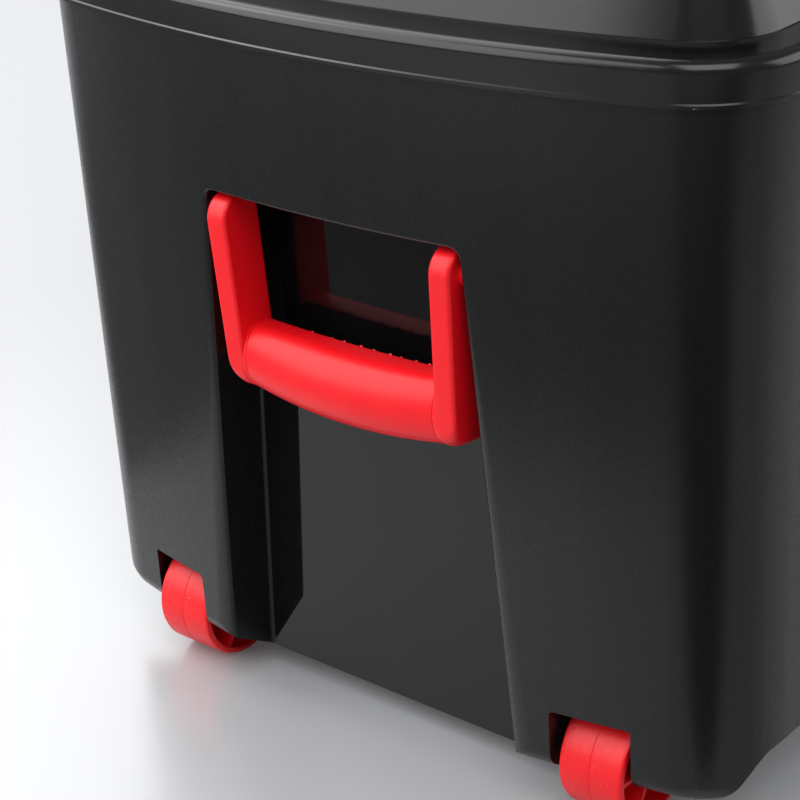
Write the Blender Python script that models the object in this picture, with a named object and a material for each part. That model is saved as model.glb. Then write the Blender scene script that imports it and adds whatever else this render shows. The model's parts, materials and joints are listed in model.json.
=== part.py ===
"""Wheeled storage bin with a hinged lid, two swing handles and two wheels.

Metres, +Z up. X is the length and the wheeled end is at -X. The lid hinges at the +Y side and
the latches are on the -Y side. The origin is the middle of the rectangle the bin stands on.
Every shape at an end is written in that end's own terms: "across" from the middle of the end,
"depth" inwards from the end wall, and height above the ground.
"""

import math

import bmesh
import bpy
from mathutils import Matrix, Vector

# Lid
LID_LENGTH = 0.8
LID_WIDTH = 0.4
LID_OVERHANG = 0.0028
LID_WALL = 0.0026
LID_LIFT = 0.0009
BEAD_HEIGHT = 0.0015
BEAD_REACH = 0.0006
SKIRT_DROP = 0.018
SKIRT_SHOULDER = 0.0045
LEDGE_INSET = 0.0128
STEP_RISE = 0.004
STEP_LEDGE = 0.0014
DOME_RISE = 0.033
DOME_LEAN = 0.004
DOME_EDGE = 0.008
CROWN_RISE = 0.002
GUIDE_GAP = 0.0012
GUIDE_WALL = 0.0018
GUIDE_DROP = 0.0085
LID_RIB_WALL = 0.002
LID_RIB_DROP = 0.009
LID_RIB_COUNT = 5
LID_LONG_RIB_PLACE = 0.07

# Tub
SHOULDER_HEIGHT = 0.338
FLOOR_HEIGHT = 0.013
WALL = 0.003
RIM_INSET = 0.0012
RIM_GAP = 0.0004
RIM_CHAMFER = 0.0006
CORNER_RADIUS = 0.046
BASE_RADIUS = 0.01
BASE_REACH = 0.0285
BASE_SLOPE = math.radians(31.4)
END_SWEEP = math.radians(12.4)
DRAFT = math.radians(0.45)

# Recess in each end
RECESS_TOP = 0.2682
RECESS_SPREAD = 0.062
RECESS_DEPTH = 0.0325
RECESS_LEAN = 0.0102
RECESS_TAPER = 0.001
RECESS_CORNER = 0.005
RECESS_INNER_FILLET = 0.002
MOUTH_RADIUS_TOP = 0.0016
MOUTH_RADIUS_BOTTOM = 0.0085
MOUTH_DEPTH_SHARE = 0.3
LEAST_RADIUS = 0.0005

# Wheels and their wells
WHEEL_RADIUS = 0.028
WHEEL_WIDTH = 0.0333
WHEEL_PLACE_SHARE = 0.3375
WHEEL_DEPTH = 0.0394
WHEEL_RIM = 0.0032
WHEEL_DISH = 0.0135
WHEEL_SHOULDER = 0.0018
WHEEL_SPOKE_WALL = 0.0022
WHEEL_SPOKE_SET_BACK = 0.0015
WHEEL_SPOKES = 6
WHEEL_LINE = 0.0006
HUB_WALL = 0.0035
WELL_SIDE_GAP = 0.0026
WELL_TOP_GAP = 0.0017
WELL_BACK_GAP = 0.003
WELL_CEILING_RISE = 0.002
WELL_INNER_CORNER = 0.0026
WELL_OUTER_CORNER = 0.0015
AXLE_RADIUS = 0.004
AXLE_SEAT = 0.0048
AXLE_CHAMFER = 0.0006
AXLE_BOSS_WALL = 0.0035
SNAP_NARROWING = 0.0003

# Feet at the end without wheels
FOOT_LENGTH = 0.051
FOOT_WIDTH = 0.038
FOOT_SET_BACK = 0.0285
FOOT_CORNER = 0.008
FOOT_SLOPE = 0.002

# Arch along each long side
ARCH_HEIGHT = 0.0355
ARCH_DEPTH = 0.04
ARCH_LIP = 0.01
ARCH_START = 0.015
ARCH_RUN = 0.036

# Handles
ARM_RADIUS = 0.0113
ARM_THICKNESS = 0.01135
ARM_DROP = 0.083
ARM_LEAN = math.radians(2)
ARM_EDGE = 0.0018
ARM_FOOT_ROUND = 0.008
ARM_TOP_GAP = 0.0019
ARM_SIDE_GAP = 0.0038
ARM_FRONT_SET_BACK = 0.00005
PIVOT_RADIUS = 0.0042
PIVOT_REACH = 0.008
PIVOT_COLLAR = 0.0051
PIVOT_COLLAR_GAP = 0.0003
PIVOT_BOSS_WALL = 0.003
GRIP_LENGTH = 0.108
GRIP_NECK = 0.00126
GRIP_CENTRE_DROP = 0.066
GRIP_CENTRE_DEPTH = 0.00115
GRIP_HALF_DEPTH = 0.01
GRIP_HALF_HEIGHT = 0.0155
GRIP_BACK = 0.0095
GRIP_BACK_CORNER = 0.003
GRIP_FRONT_SWELL = 0.0038
GRIP_UNDER_SWELL = 0.0048
GRIP_TOP_SAG = 0.0013
GRIP_WALL = 0.0026
GRIP_RIB_WALL = 0.0018
GRIP_RIBS = 5
SPIGOT_LENGTH = 0.012

# Lid hinges at the back
HINGE_PLACE = 0.23
HINGE_OUT = 0.0085
HINGE_RADIUS = 0.0065
HINGE_PIN_RADIUS = 0.003
KNUCKLE_WIDTH = 0.032
EAR_WIDTH = 0.0075
EAR_DROP = 0.028
EAR_SEAT = 0.0015
KNUCKLE_WEB = 0.0115
STOP_HEEL = 0.011
STOP_HEEL_HALF = 0.002
STOP_HEEL_ANGLE = math.radians(65)
STOP_PLATE_NEAR = 0.0045
STOP_PLATE_WALL = 0.003
STOP_PLATE_GAP = 0.0013

# Latches at the front
LATCH_PLACE = 0.2
LATCH_WIDTH = 0.056
LATCH_PIVOT_DROP = 0.033
LATCH_PIVOT_OUT = 0.0052
LATCH_BARREL = 0.0045
LATCH_PLATE = 0.0028
LATCH_HOOK_REACH = 0.0165
LATCH_HOOK_GAP = 0.0006
LATCH_HOOK_WALL = 0.003
LATCH_TAB = 0.007
LATCH_CORNER = 0.0006
LATCH_PIN_RADIUS = 0.002
LATCH_EAR_WIDTH = 0.0045
LATCH_EAR_DROP = 0.016
LATCH_REST = math.radians(178)

# Shared by every joint and cut
FIT_GAP = 0.0003
SIDE_GAP = 0.0004
OVERRUN = 0.01
SEAT = 0.001

# How finely curves are cut
END_STEPS = 6
CORNER_STEPS = 5
BASE_STEPS = 4
FILLET_STEPS = 3
ARCH_STEPS = 6
ROUND_STEPS = 24
PIN_STEPS = 16
WHEEL_STEPS = 36
GRIP_STEPS = 8
ARM_STEPS = 10
TOE_STEPS = 4
EDGE_STEPS = 2
CROWN_SHARES = (0.75, 0.4)
FOOT_OUTLINE_SHARES = (
    (1.0, 0.0),
    (1.155, -0.79),
    (1.175, -0.95),
    (1.14, -0.985),
    (0.95, -1.0),
    (0.624, -0.993),
)
TOE_CURVE_SHARES = ((0.624, -0.993), (-0.68, -0.985), (-0.762, -0.86))

# Sizes worked out from the ones above
TUB_HALF_LENGTH = LID_LENGTH / 2 - LID_OVERHANG
TUB_HALF_WIDTH = LID_WIDTH / 2 - LID_OVERHANG
SLOPE = math.tan(DRAFT)
BASE_TURN = math.pi / 2 - BASE_SLOPE
BASE_RUN = BASE_REACH - BASE_RADIUS * (1 - math.cos(BASE_TURN))
BASE_TOP = FLOOR_HEIGHT + BASE_RUN * math.tan(BASE_SLOPE) + BASE_RADIUS * math.sin(BASE_TURN)
LID_EDGE_HEIGHT = SHOULDER_HEIGHT + LID_LIFT
LEDGE_HEIGHT = LID_EDGE_HEIGHT + SKIRT_DROP
RIM_HEIGHT = LEDGE_HEIGHT - LID_WALL - RIM_GAP
TOP_INSET = (SHOULDER_HEIGHT - RECESS_TOP) * SLOPE
END_FACE = TUB_HALF_LENGTH - TOP_INSET
ARM_PIVOT_HEIGHT = RECESS_TOP - ARM_TOP_GAP - ARM_RADIUS
ARM_PIVOT_DEPTH = ARM_RADIUS + ARM_FRONT_SET_BACK
ARM_INNER = GRIP_LENGTH / 2 + GRIP_NECK + GRIP_CENTRE_DROP * math.tan(ARM_LEAN)
ARM_OUTER = ARM_INNER + ARM_THICKNESS
PIVOT_WALL = ARM_OUTER + ARM_SIDE_GAP
RECESS_HALF_WIDTH = PIVOT_WALL - (RECESS_TOP - ARM_PIVOT_HEIGHT) * RECESS_SPREAD
COLLAR_FACE = PIVOT_WALL - PIVOT_COLLAR * RECESS_SPREAD - RECESS_TAPER - PIVOT_COLLAR_GAP
PIVOT_TIP = PIVOT_WALL + PIVOT_REACH
RECESS_FOOT = RECESS_HALF_WIDTH + RECESS_TOP * RECESS_SPREAD
WHEEL_PLACE = RECESS_FOOT + (TUB_HALF_WIDTH - RECESS_FOOT) * WHEEL_PLACE_SHARE
WELL_HALF_WIDTH = WHEEL_WIDTH / 2 + WELL_SIDE_GAP
WELL_TOP = 2 * WHEEL_RADIUS + WELL_TOP_GAP
WELL_DEPTH = WHEEL_DEPTH + WHEEL_RADIUS + WELL_BACK_GAP
AXLE_HALF_LENGTH = WELL_HALF_WIDTH + AXLE_SEAT
FOOT_PLACE = WHEEL_PLACE
HINGE_Y = TUB_HALF_WIDTH + LID_OVERHANG + HINGE_OUT
HINGE_Z = LID_EDGE_HEIGHT
LATCH_Z = LID_EDGE_HEIGHT - LATCH_PIVOT_DROP
LATCH_Y = -(TUB_HALF_WIDTH - (SHOULDER_HEIGHT - LATCH_Z) * SLOPE + LATCH_PIVOT_OUT)


def clear_scene():
    for old in list(bpy.data.objects):
        bpy.data.objects.remove(old, do_unlink=True)


def make_material(name, colour, roughness, metallic=0.0):
    material = bpy.data.materials.new(name)
    material.use_nodes = True
    shader = material.node_tree.nodes["Principled BSDF"]
    shader.inputs["Base Color"].default_value = (*colour, 1.0)
    shader.inputs["Roughness"].default_value = roughness
    shader.inputs["Metallic"].default_value = metallic
    material.diffuse_color = (*colour, 1.0)
    return material


def make_object(name, bm, material=None, origin=(0, 0, 0), parent=None):
    """A named object from a bmesh drawn in world places, with its origin where it is told."""
    bmesh.ops.recalc_face_normals(bm, faces=bm.faces)
    origin = Vector(origin)
    bm.transform(Matrix.Translation(-origin))
    mesh = bpy.data.meshes.new(name)
    bm.to_mesh(mesh)
    bm.free()
    obj = bpy.data.objects.new(name, mesh)
    bpy.context.collection.objects.link(obj)
    obj.location = origin
    if parent:
        obj.parent = parent
        obj.location = origin - parent.location
    if material:
        mesh.materials.append(material)
        mesh.shade_smooth()
        mesh.set_sharp_from_angle(angle=math.radians(28))
    else:
        obj.hide_render = True
        obj.display_type = "WIRE"
    return obj


def make_empty(name, place):
    empty = bpy.data.objects.new(name, None)
    bpy.context.collection.objects.link(empty)
    empty.location = place
    return empty


def combine(obj, other, operation):
    modifier = obj.modifiers.new(operation.lower() + " " + other.name, "BOOLEAN")
    modifier.operation = operation
    modifier.solver = "EXACT"
    modifier.object = other


def add_loft(bm, rings):
    """A closed body through rings of equal count, with a flat cap at each end."""
    rows = [[bm.verts.new(point) for point in ring] for ring in rings]
    for lower, upper in zip(rows, rows[1:]):
        for i, corner in enumerate(lower):
            j = (i + 1) % len(lower)
            bm.faces.new((corner, lower[j], upper[j], upper[i]))
    bm.faces.new(rows[0])
    bm.faces.new(rows[-1])


def add_bar(bm, outline, start, end, place):
    """An outline of (a, b) points swept from start to end, placed by place(along, a, b)."""
    add_loft(bm, [[place(along, a, b) for a, b in outline] for along in (start, end)])


def along_x(x, y, z):
    return Vector((x, y, z))


def rectangle(low_a, low_b, high_a, high_b):
    return [(low_a, low_b), (high_a, low_b), (high_a, high_b), (low_a, high_b)]


def arc(centre_a, centre_b, radius, start, end, steps):
    """Points from angle start to angle end, both in degrees."""
    points = []
    for i in range(steps + 1):
        angle = math.radians(start + (end - start) * i / steps)
        points.append((centre_a + radius * math.cos(angle), centre_b + radius * math.sin(angle)))
    return points


def at_end(side, across, depth, height):
    """World place of a point of one end: side is -1 at the wheels and 1 at the feet."""
    return Vector((side * (END_FACE - depth), side * across, height))


def plan_ring(inset, height):
    """The bin seen from above, this far inside the tub's shoulder: bowed ends, round corners."""
    radius = CORNER_RADIUS - inset
    half_width = TUB_HALF_WIDTH - inset
    half_length = TUB_HALF_LENGTH - inset
    reach = half_width - radius * (1 - math.sin(END_SWEEP))
    bow = reach * math.tan(END_SWEEP) / 2
    quarter = []
    for i in range(END_STEPS + 1):
        share = i / END_STEPS
        quarter.append((reach * share, bow * share * share))
    for i in range(1, CORNER_STEPS + 1):
        angle = END_SWEEP + (math.pi / 2 - END_SWEEP) * i / CORNER_STEPS
        across = half_width - radius + radius * math.sin(angle)
        depth = bow + radius * (math.cos(END_SWEEP) - math.cos(angle))
        quarter.append((across, depth))
    ring = [(depth - half_length, across) for across, depth in quarter]
    ring += [(half_length - depth, across) for across, depth in reversed(quarter)]
    ring += [(half_length - depth, -across) for across, depth in quarter[1:]]
    ring += [(depth - half_length, -across) for across, depth in reversed(quarter[1:])]
    return [Vector((x, y, height)) for x, y in ring]


def wall_inset(height):
    return (SHOULDER_HEIGHT - height) * SLOPE


def wall_depth(across, height):
    """How far the outer face of an end wall lies inside the middle of the end."""
    half_width = TUB_HALF_WIDTH - TOP_INSET
    reach = half_width - (CORNER_RADIUS - TOP_INSET) * (1 - math.sin(END_SWEEP))
    bow = reach * math.tan(END_SWEEP) / 2
    return bow * (across / reach) ** 2 + (RECESS_TOP - height) * SLOPE


def wall_slope(across):
    half_width = TUB_HALF_WIDTH - TOP_INSET
    reach = half_width - (CORNER_RADIUS - TOP_INSET) * (1 - math.sin(END_SWEEP))
    return math.tan(END_SWEEP) * across / reach


def tub_shell(thickness, top_inset, top_height, step_height):
    """Rings of the tub's outside, or of its inside when a thickness is given."""
    floor = FLOOR_HEIGHT + thickness
    rings = [plan_ring(BASE_REACH + thickness * math.tan(BASE_SLOPE / 2) + wall_inset(floor), floor)]
    for i in range(BASE_STEPS + 1):
        angle = BASE_TURN * (1 - i / BASE_STEPS)
        inset = BASE_RADIUS - (BASE_RADIUS - thickness) * math.cos(angle)
        height = BASE_TOP - (BASE_RADIUS - thickness) * math.sin(angle)
        rings.append(plan_ring(inset + wall_inset(height), height))
    rings.append(plan_ring(thickness + wall_inset(step_height), step_height))
    if top_inset is not None:
        rings.append(plan_ring(top_inset, step_height))
        rings.append(plan_ring(top_inset, top_height - RIM_CHAMFER))
        rings.append(plan_ring(top_inset + RIM_CHAMFER, top_height))
    return rings


def recess_edge():
    """Half the recess's outline as (across, height, normal), from the bottom to the middle."""
    lean = math.atan(RECESS_SPREAD)
    side = Vector((math.cos(lean), math.sin(lean)))
    centre = RECESS_HALF_WIDTH - RECESS_CORNER
    bottom = -OVERRUN
    corner_height = RECESS_TOP - RECESS_CORNER
    points = []
    for share in (0, 1 / 6, 1 / 2, 1):
        height = bottom + (corner_height - bottom) * share
        across = RECESS_HALF_WIDTH + (corner_height - height) * RECESS_SPREAD
        points.append((across, height, side))
    for angle in (30, 60, 90):
        turn = math.radians(angle)
        normal = Vector((math.cos(turn), math.sin(turn)))
        points.append((centre + RECESS_CORNER * normal.x, corner_height + RECESS_CORNER * normal.y, normal))
    for share in (2 / 3, 1 / 3, 0):
        points.append((centre * share, RECESS_TOP, Vector((0, 1))))
    return points


def recess_body(side, grow):
    """The space of one recess, with its lip rolled into the bowed end wall.

    With a grow it is the same space and the wall round it, which the tub's inside leaves out.
    """
    half = recess_edge()
    whole = [(across, height, normal) for across, height, normal in half]
    whole += [(-across, height, Vector((-normal.x, normal.y))) for across, height, normal in half[-2::-1]]
    fillet = RECESS_INNER_FILLET + grow

    def ring(rule):
        points = []
        for across, height, normal in whole:
            offset, depth = rule(across, height, normal)
            point = Vector((across, height)) + normal * offset
            points.append(at_end(side, point.x, depth, point.y))
        return points

    def panel_rule(angle):
        def rule(across, height, normal):
            back = RECESS_DEPTH + (RECESS_TOP - height) * RECESS_LEAN + grow
            offset = grow - RECESS_TAPER - fillet * (1 - math.cos(angle))
            return offset, back - fillet * (1 - math.sin(angle))

        return rule

    def mouth_rule(share, outside):
        def rule(across, height, normal):
            fall = (RECESS_TOP - height) / (RECESS_TOP - FLOOR_HEIGHT)
            radius = MOUTH_RADIUS_TOP + (MOUTH_RADIUS_BOTTOM - MOUTH_RADIUS_TOP) * fall
            deep = max(radius * MOUTH_DEPTH_SHARE, MOUTH_RADIUS_TOP, grow + LEAST_RADIUS)
            wide = max(radius, deep)
            landing = abs(across) + wide * abs(normal.x)
            slope = wall_slope(landing) * abs(normal.x) - SLOPE * normal.y
            last = math.pi / 2 + math.atan(wide / deep * slope)
            reach = wide * (1 - math.cos(last))
            landing = wall_depth(abs(across) + reach * abs(normal.x), height + reach * normal.y)
            angle = last * share
            offset = wide - (wide - grow) * math.cos(angle)
            depth = landing + deep * math.sin(last) - (deep - grow) * math.sin(angle)
            return offset, -OVERRUN if outside else depth

        return rule

    rings = [ring(panel_rule(math.pi / 2 * (FILLET_STEPS - i) / FILLET_STEPS)) for i in range(FILLET_STEPS + 1)]
    rings += [ring(mouth_rule(i / FILLET_STEPS, False)) for i in range(FILLET_STEPS + 1)]
    rings.append(ring(mouth_rule(1, True)))
    bm = bmesh.new()
    add_loft(bm, rings)
    return bm


def well_outline(place, grow, ceiling):
    """A wheel well seen from the end: square below, its two top corners rounded."""
    low, high = place - WELL_HALF_WIDTH - grow, place + WELL_HALF_WIDTH + grow
    inner, outer = WELL_INNER_CORNER + grow, WELL_OUTER_CORNER + grow
    top = ceiling + grow
    points = [(high, -OVERRUN)]
    points += arc(high - outer, top - outer, outer, 0, 90, FILLET_STEPS)
    points += arc(low + inner, top - inner, inner, 90, 180, FILLET_STEPS)
    points.append((low, -OVERRUN))
    return points


def add_well(bm, mirror, grow):
    front = [at_end(-1, mirror * a, -OVERRUN, h) for a, h in well_outline(WHEEL_PLACE, grow, WELL_TOP)]
    rise = WELL_TOP + WELL_CEILING_RISE
    back = [at_end(-1, mirror * a, WELL_DEPTH + grow, h) for a, h in well_outline(WHEEL_PLACE, grow, rise)]
    add_loft(bm, [front, back])


def keyhole_outline():
    """The axle's seat and the narrower slot below it that the axle snaps through."""
    seat = AXLE_RADIUS + FIT_GAP
    half_slot = AXLE_RADIUS - SNAP_NARROWING
    start = -math.degrees(math.acos(half_slot / seat))
    points = arc(WHEEL_DEPTH, WHEEL_RADIUS, seat, start, 180 - start, ROUND_STEPS // 2)
    points.append((WHEEL_DEPTH - half_slot, -OVERRUN))
    points.append((WHEEL_DEPTH + half_slot, -OVERRUN))
    return points


def arch_rise(depth):
    """How high the arch stands at this depth from an end: nothing at the foot, then an S."""
    share = min(max((depth - ARCH_START) / ARCH_RUN, 0), 1)
    return ARCH_HEIGHT * share * share * (3 - 2 * share)


def add_arch(bm, side, grow):
    """The hollow under one long side, from foot to foot."""
    half_run = END_FACE - ARCH_START
    shares = [i / ARCH_STEPS for i in range(ARCH_STEPS + 1)]
    places = [-half_run + ARCH_RUN * share for share in shares]
    places += [-place for place in reversed(places)]
    rings = []
    for x in places:
        rise = max(arch_rise(END_FACE - abs(x)), LEAST_RADIUS) + grow
        deep = ARCH_DEPTH + grow
        lip = ARCH_LIP
        lip_height = FLOOR_HEIGHT + rise * math.sqrt(1 - (lip / deep) ** 2)
        outline = [(-OVERRUN, -OVERRUN), (-OVERRUN, lip_height + lip)]
        for i in range(FILLET_STEPS + 1):
            angle = math.pi / 2 * (FILLET_STEPS - i) / FILLET_STEPS
            outline.append((lip - lip * math.sin(angle), lip_height + lip - lip * math.cos(angle)))
        start = math.asin(lip / deep)
        for i in range(1, BASE_STEPS + 2):
            angle = start + (math.pi / 2 - start) * i / (BASE_STEPS + 1)
            outline.append((deep * math.sin(angle), FLOOR_HEIGHT + rise * math.cos(angle)))
        outline.append((deep, -OVERRUN))
        rings.append([Vector((x, side * (TUB_HALF_WIDTH - a), b)) for a, b in outline])
    add_loft(bm, rings)


def foot_ring(shrink, height, slope):
    half_length = FOOT_LENGTH / 2 - shrink - slope
    half_width = FOOT_WIDTH / 2 - shrink - slope
    corner = FOOT_CORNER - shrink
    points = []
    for turn, (a, b) in enumerate(((1, 1), (-1, 1), (-1, -1), (1, -1))):
        centre = (a * (half_length - corner), b * (half_width - corner))
        points += arc(*centre, corner, 90 * turn, 90 * turn + 90, FILLET_STEPS)
    return points, height


def add_foot(bm, mirror, shrink, floor):
    """One hollow foot: drawn down from the floor, or its inside with a shrink."""
    middle = FOOT_SET_BACK + FOOT_LENGTH / 2
    rings = []
    for slope, height in ((FOOT_SLOPE, floor), (0, FLOOR_HEIGHT + OVERRUN)):
        points, level = foot_ring(shrink, height, slope)
        rings.append([at_end(1, mirror * (FOOT_PLACE + b), middle + a, level) for a, b in points])
    add_loft(bm, rings)


def add_cylinder(bm, start, end, radius, axis_a, axis_b, place, steps=PIN_STEPS):
    add_bar(bm, arc(axis_a, axis_b, radius, 0, 360 - 360 / steps, steps - 1), start, end, place)


def across_end(side, mirror):
    """A place function for shapes drawn in depth and height and swept across an end."""
    return lambda across, depth, height: at_end(side, mirror * across, depth, height)


def ear_outline(out, axis_z, radius, drop, wall_place):
    """A hinge ear seen along its pin: a round head and a web that runs down the wall."""
    points = arc(out, axis_z, radius, 195, -40, ROUND_STEPS // 2)
    points.append((wall_place, axis_z - drop))
    points.append((wall_place, axis_z - radius * math.sin(math.radians(18))))
    return points


def make_tub(material):
    bm = bmesh.new()
    add_loft(bm, tub_shell(0, RIM_INSET, RIM_HEIGHT, SHOULDER_HEIGHT))
    tub = make_object("tub", bm, material)

    bm = bmesh.new()
    for mirror in (-1, 1):
        add_foot(bm, mirror, 0, 0)
    combine(tub, make_object("feet outside", bm), "UNION")

    bm = bmesh.new()
    add_loft(bm, tub_shell(WALL, None, None, RIM_HEIGHT + OVERRUN))
    inside = make_object("inside", bm)
    bm = bmesh.new()
    for mirror in (-1, 1):
        add_foot(bm, mirror, WALL, WALL)
    combine(inside, make_object("feet inside", bm), "UNION")
    for side, name in ((-1, "front"), (1, "rear")):
        combine(inside, make_object(name + " recess wall", recess_body(side, WALL)), "DIFFERENCE")
    bm = bmesh.new()
    for mirror in (-1, 1):
        add_well(bm, mirror, WALL)
    combine(inside, make_object("well walls", bm), "DIFFERENCE")
    bm = bmesh.new()
    boss_half = AXLE_RADIUS + AXLE_BOSS_WALL
    boss = rectangle(WHEEL_DEPTH - boss_half, 0, WHEEL_DEPTH + boss_half, WHEEL_RADIUS + boss_half)
    boss_reach = AXLE_HALF_LENGTH + AXLE_BOSS_WALL
    for mirror in (-1, 1):
        add_bar(bm, boss, WHEEL_PLACE - boss_reach, WHEEL_PLACE + boss_reach, across_end(-1, mirror))
    combine(inside, make_object("axle bosses", bm), "DIFFERENCE")
    bm = bmesh.new()
    for side in (-1, 1):
        add_arch(bm, side, WALL)
    combine(inside, make_object("arch walls", bm), "DIFFERENCE")
    hole_end = PIVOT_TIP + SIDE_GAP
    bm = bmesh.new()
    for side in (-1, 1):
        for mirror in (-1, 1):
            add_cylinder(
                bm,
                COLLAR_FACE,
                hole_end + PIVOT_BOSS_WALL,
                PIVOT_RADIUS + PIVOT_BOSS_WALL,
                ARM_PIVOT_DEPTH,
                ARM_PIVOT_HEIGHT,
                across_end(side, mirror),
            )
    combine(inside, make_object("pivot bosses", bm), "DIFFERENCE")
    combine(tub, inside, "DIFFERENCE")

    for side, name in ((-1, "front"), (1, "rear")):
        combine(tub, make_object(name + " recess", recess_body(side, 0)), "DIFFERENCE")
    bm = bmesh.new()
    for mirror in (-1, 1):
        add_well(bm, mirror, 0)
    combine(tub, make_object("wells", bm), "DIFFERENCE")
    bm = bmesh.new()
    reach = AXLE_HALF_LENGTH + FIT_GAP
    for mirror in (-1, 1):
        add_bar(bm, keyhole_outline(), WHEEL_PLACE - reach, WHEEL_PLACE + reach, across_end(-1, mirror))
    combine(tub, make_object("axle seats", bm), "DIFFERENCE")
    bm = bmesh.new()
    for side in (-1, 1):
        add_arch(bm, side, 0)
    combine(tub, make_object("arches", bm), "DIFFERENCE")
    bm = bmesh.new()
    for side in (-1, 1):
        for mirror in (-1, 1):
            add_cylinder(
                bm,
                COLLAR_FACE,
                hole_end,
                PIVOT_RADIUS + FIT_GAP,
                ARM_PIVOT_DEPTH,
                ARM_PIVOT_HEIGHT,
                across_end(side, mirror),
            )
    combine(tub, make_object("pivot holes", bm), "DIFFERENCE")

    bm = bmesh.new()
    outline = ear_outline(HINGE_Y, HINGE_Z, HINGE_RADIUS, EAR_DROP, TUB_HALF_WIDTH - EAR_SEAT)
    inner = KNUCKLE_WIDTH / 2 + SIDE_GAP
    for place in (-HINGE_PLACE, HINGE_PLACE):
        for mirror in (-1, 1):
            start = place + mirror * inner
            add_bar(bm, outline, start, start + mirror * EAR_WIDTH, along_x)
    latch_wall = -(TUB_HALF_WIDTH - wall_inset(LATCH_Z - LATCH_EAR_DROP)) + EAR_SEAT
    outline = ear_outline(-LATCH_Y, LATCH_Z, LATCH_BARREL, LATCH_EAR_DROP, -latch_wall)
    outline = [(-y, z) for y, z in outline]
    inner = LATCH_WIDTH / 2 + SIDE_GAP
    for place in (-LATCH_PLACE, LATCH_PLACE):
        for mirror in (-1, 1):
            start = place + mirror * inner
            add_bar(bm, outline, start, start + mirror * LATCH_EAR_WIDTH, along_x)
    combine(tub, make_object("ears", bm), "UNION")
    bm = bmesh.new()
    near = HINGE_Y + STOP_PLATE_NEAR
    low, high = HINGE_Z - EAR_DROP / 2, HINGE_Z - HINGE_RADIUS - STOP_PLATE_GAP
    plate = [(near, high), (near + STOP_PLATE_WALL, high), (near, low), (TUB_HALF_WIDTH - EAR_SEAT, low - STOP_PLATE_NEAR)]
    plate.append((TUB_HALF_WIDTH - EAR_SEAT, low))
    half = KNUCKLE_WIDTH / 2 + SIDE_GAP + SEAT
    for place in (-HINGE_PLACE, HINGE_PLACE):
        add_bar(bm, plate, place - half, place + half, along_x)
    combine(tub, make_object("stop plates", bm), "UNION")
    bm = bmesh.new()
    half = KNUCKLE_WIDTH / 2 + EAR_WIDTH + OVERRUN
    for place in (-HINGE_PLACE, HINGE_PLACE):
        add_cylinder(bm, place - half, place + half, HINGE_PIN_RADIUS + FIT_GAP, HINGE_Y, HINGE_Z, along_x)
    half = LATCH_WIDTH / 2 + LATCH_EAR_WIDTH + OVERRUN
    for place in (-LATCH_PLACE, LATCH_PLACE):
        add_cylinder(bm, place - half, place + half, LATCH_PIN_RADIUS + FIT_GAP, LATCH_Y, LATCH_Z, along_x)
    combine(tub, make_object("pin holes", bm), "DIFFERENCE")
    return tub


def lid_shell(thickness):
    """Rings of the lid's outside, or of its underside when a thickness is given."""
    edge = -LID_OVERHANG
    skirt = edge + BEAD_REACH
    lift = LID_EDGE_HEIGHT
    ledge = LEDGE_HEIGHT - thickness
    foot = edge + LEDGE_INSET + thickness
    wall_top = LEDGE_HEIGHT + STEP_RISE + DOME_RISE
    shoulder = SKIRT_SHOULDER - thickness
    rings = []
    if thickness:
        rings.append(plan_ring(skirt + thickness, lift - OVERRUN))
    else:
        rings.append(plan_ring(edge, lift))
        rings.append(plan_ring(edge, lift + BEAD_HEIGHT))
        rings.append(plan_ring(skirt, lift + BEAD_HEIGHT + BEAD_REACH))
    for i in range(FILLET_STEPS + 1):
        angle = math.pi / 2 * i / FILLET_STEPS
        inset = skirt + thickness + shoulder * (1 - math.cos(angle))
        rings.append(plan_ring(inset, ledge - shoulder * (1 - math.sin(angle))))
    rings.append(plan_ring(foot, ledge))
    rings.append(plan_ring(foot, ledge + STEP_RISE))
    rings.append(plan_ring(foot + STEP_LEDGE, ledge + STEP_RISE))
    start = foot + STEP_LEDGE + DOME_LEAN
    edge_radius = DOME_EDGE - thickness
    base = wall_top - DOME_EDGE
    for i in range(FILLET_STEPS + 1):
        angle = math.pi / 2 * i / FILLET_STEPS
        rings.append(plan_ring(start + edge_radius * (1 - math.cos(angle)), base + edge_radius * math.sin(angle)))
    rim = rings[-1]
    for share in CROWN_SHARES:
        rise = CROWN_RISE * (1 - share * share)
        rings.append([Vector((p.x * share, p.y * share, p.z + rise)) for p in rim])
    return rings


def knuckle_outline():
    """A lid knuckle seen along its pin: round, with a web to the skirt and a stop heel."""
    lean = math.degrees(STOP_HEEL_ANGLE)
    spread = math.degrees(math.asin(STOP_HEEL_HALF / HINGE_RADIUS))
    along = Vector((math.cos(STOP_HEEL_ANGLE), math.sin(STOP_HEEL_ANGLE))) * STOP_HEEL
    aside = Vector((math.sin(STOP_HEEL_ANGLE), -math.cos(STOP_HEEL_ANGLE))) * STOP_HEEL_HALF
    seat = TUB_HALF_WIDTH + LID_OVERHANG - BEAD_REACH - EAR_SEAT
    centre = Vector((HINGE_Y, HINGE_Z))
    points = [(seat, HINGE_Z + KNUCKLE_WEB)]
    points += arc(HINGE_Y, HINGE_Z, HINGE_RADIUS, 104, lean + spread, 2)
    points += [tuple(centre + along - aside), tuple(centre + along + aside)]
    points += arc(HINGE_Y, HINGE_Z, HINGE_RADIUS, lean - spread, -190, ROUND_STEPS // 2)
    points.append((seat, HINGE_Z + BEAD_HEIGHT + BEAD_REACH))
    return points


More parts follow.
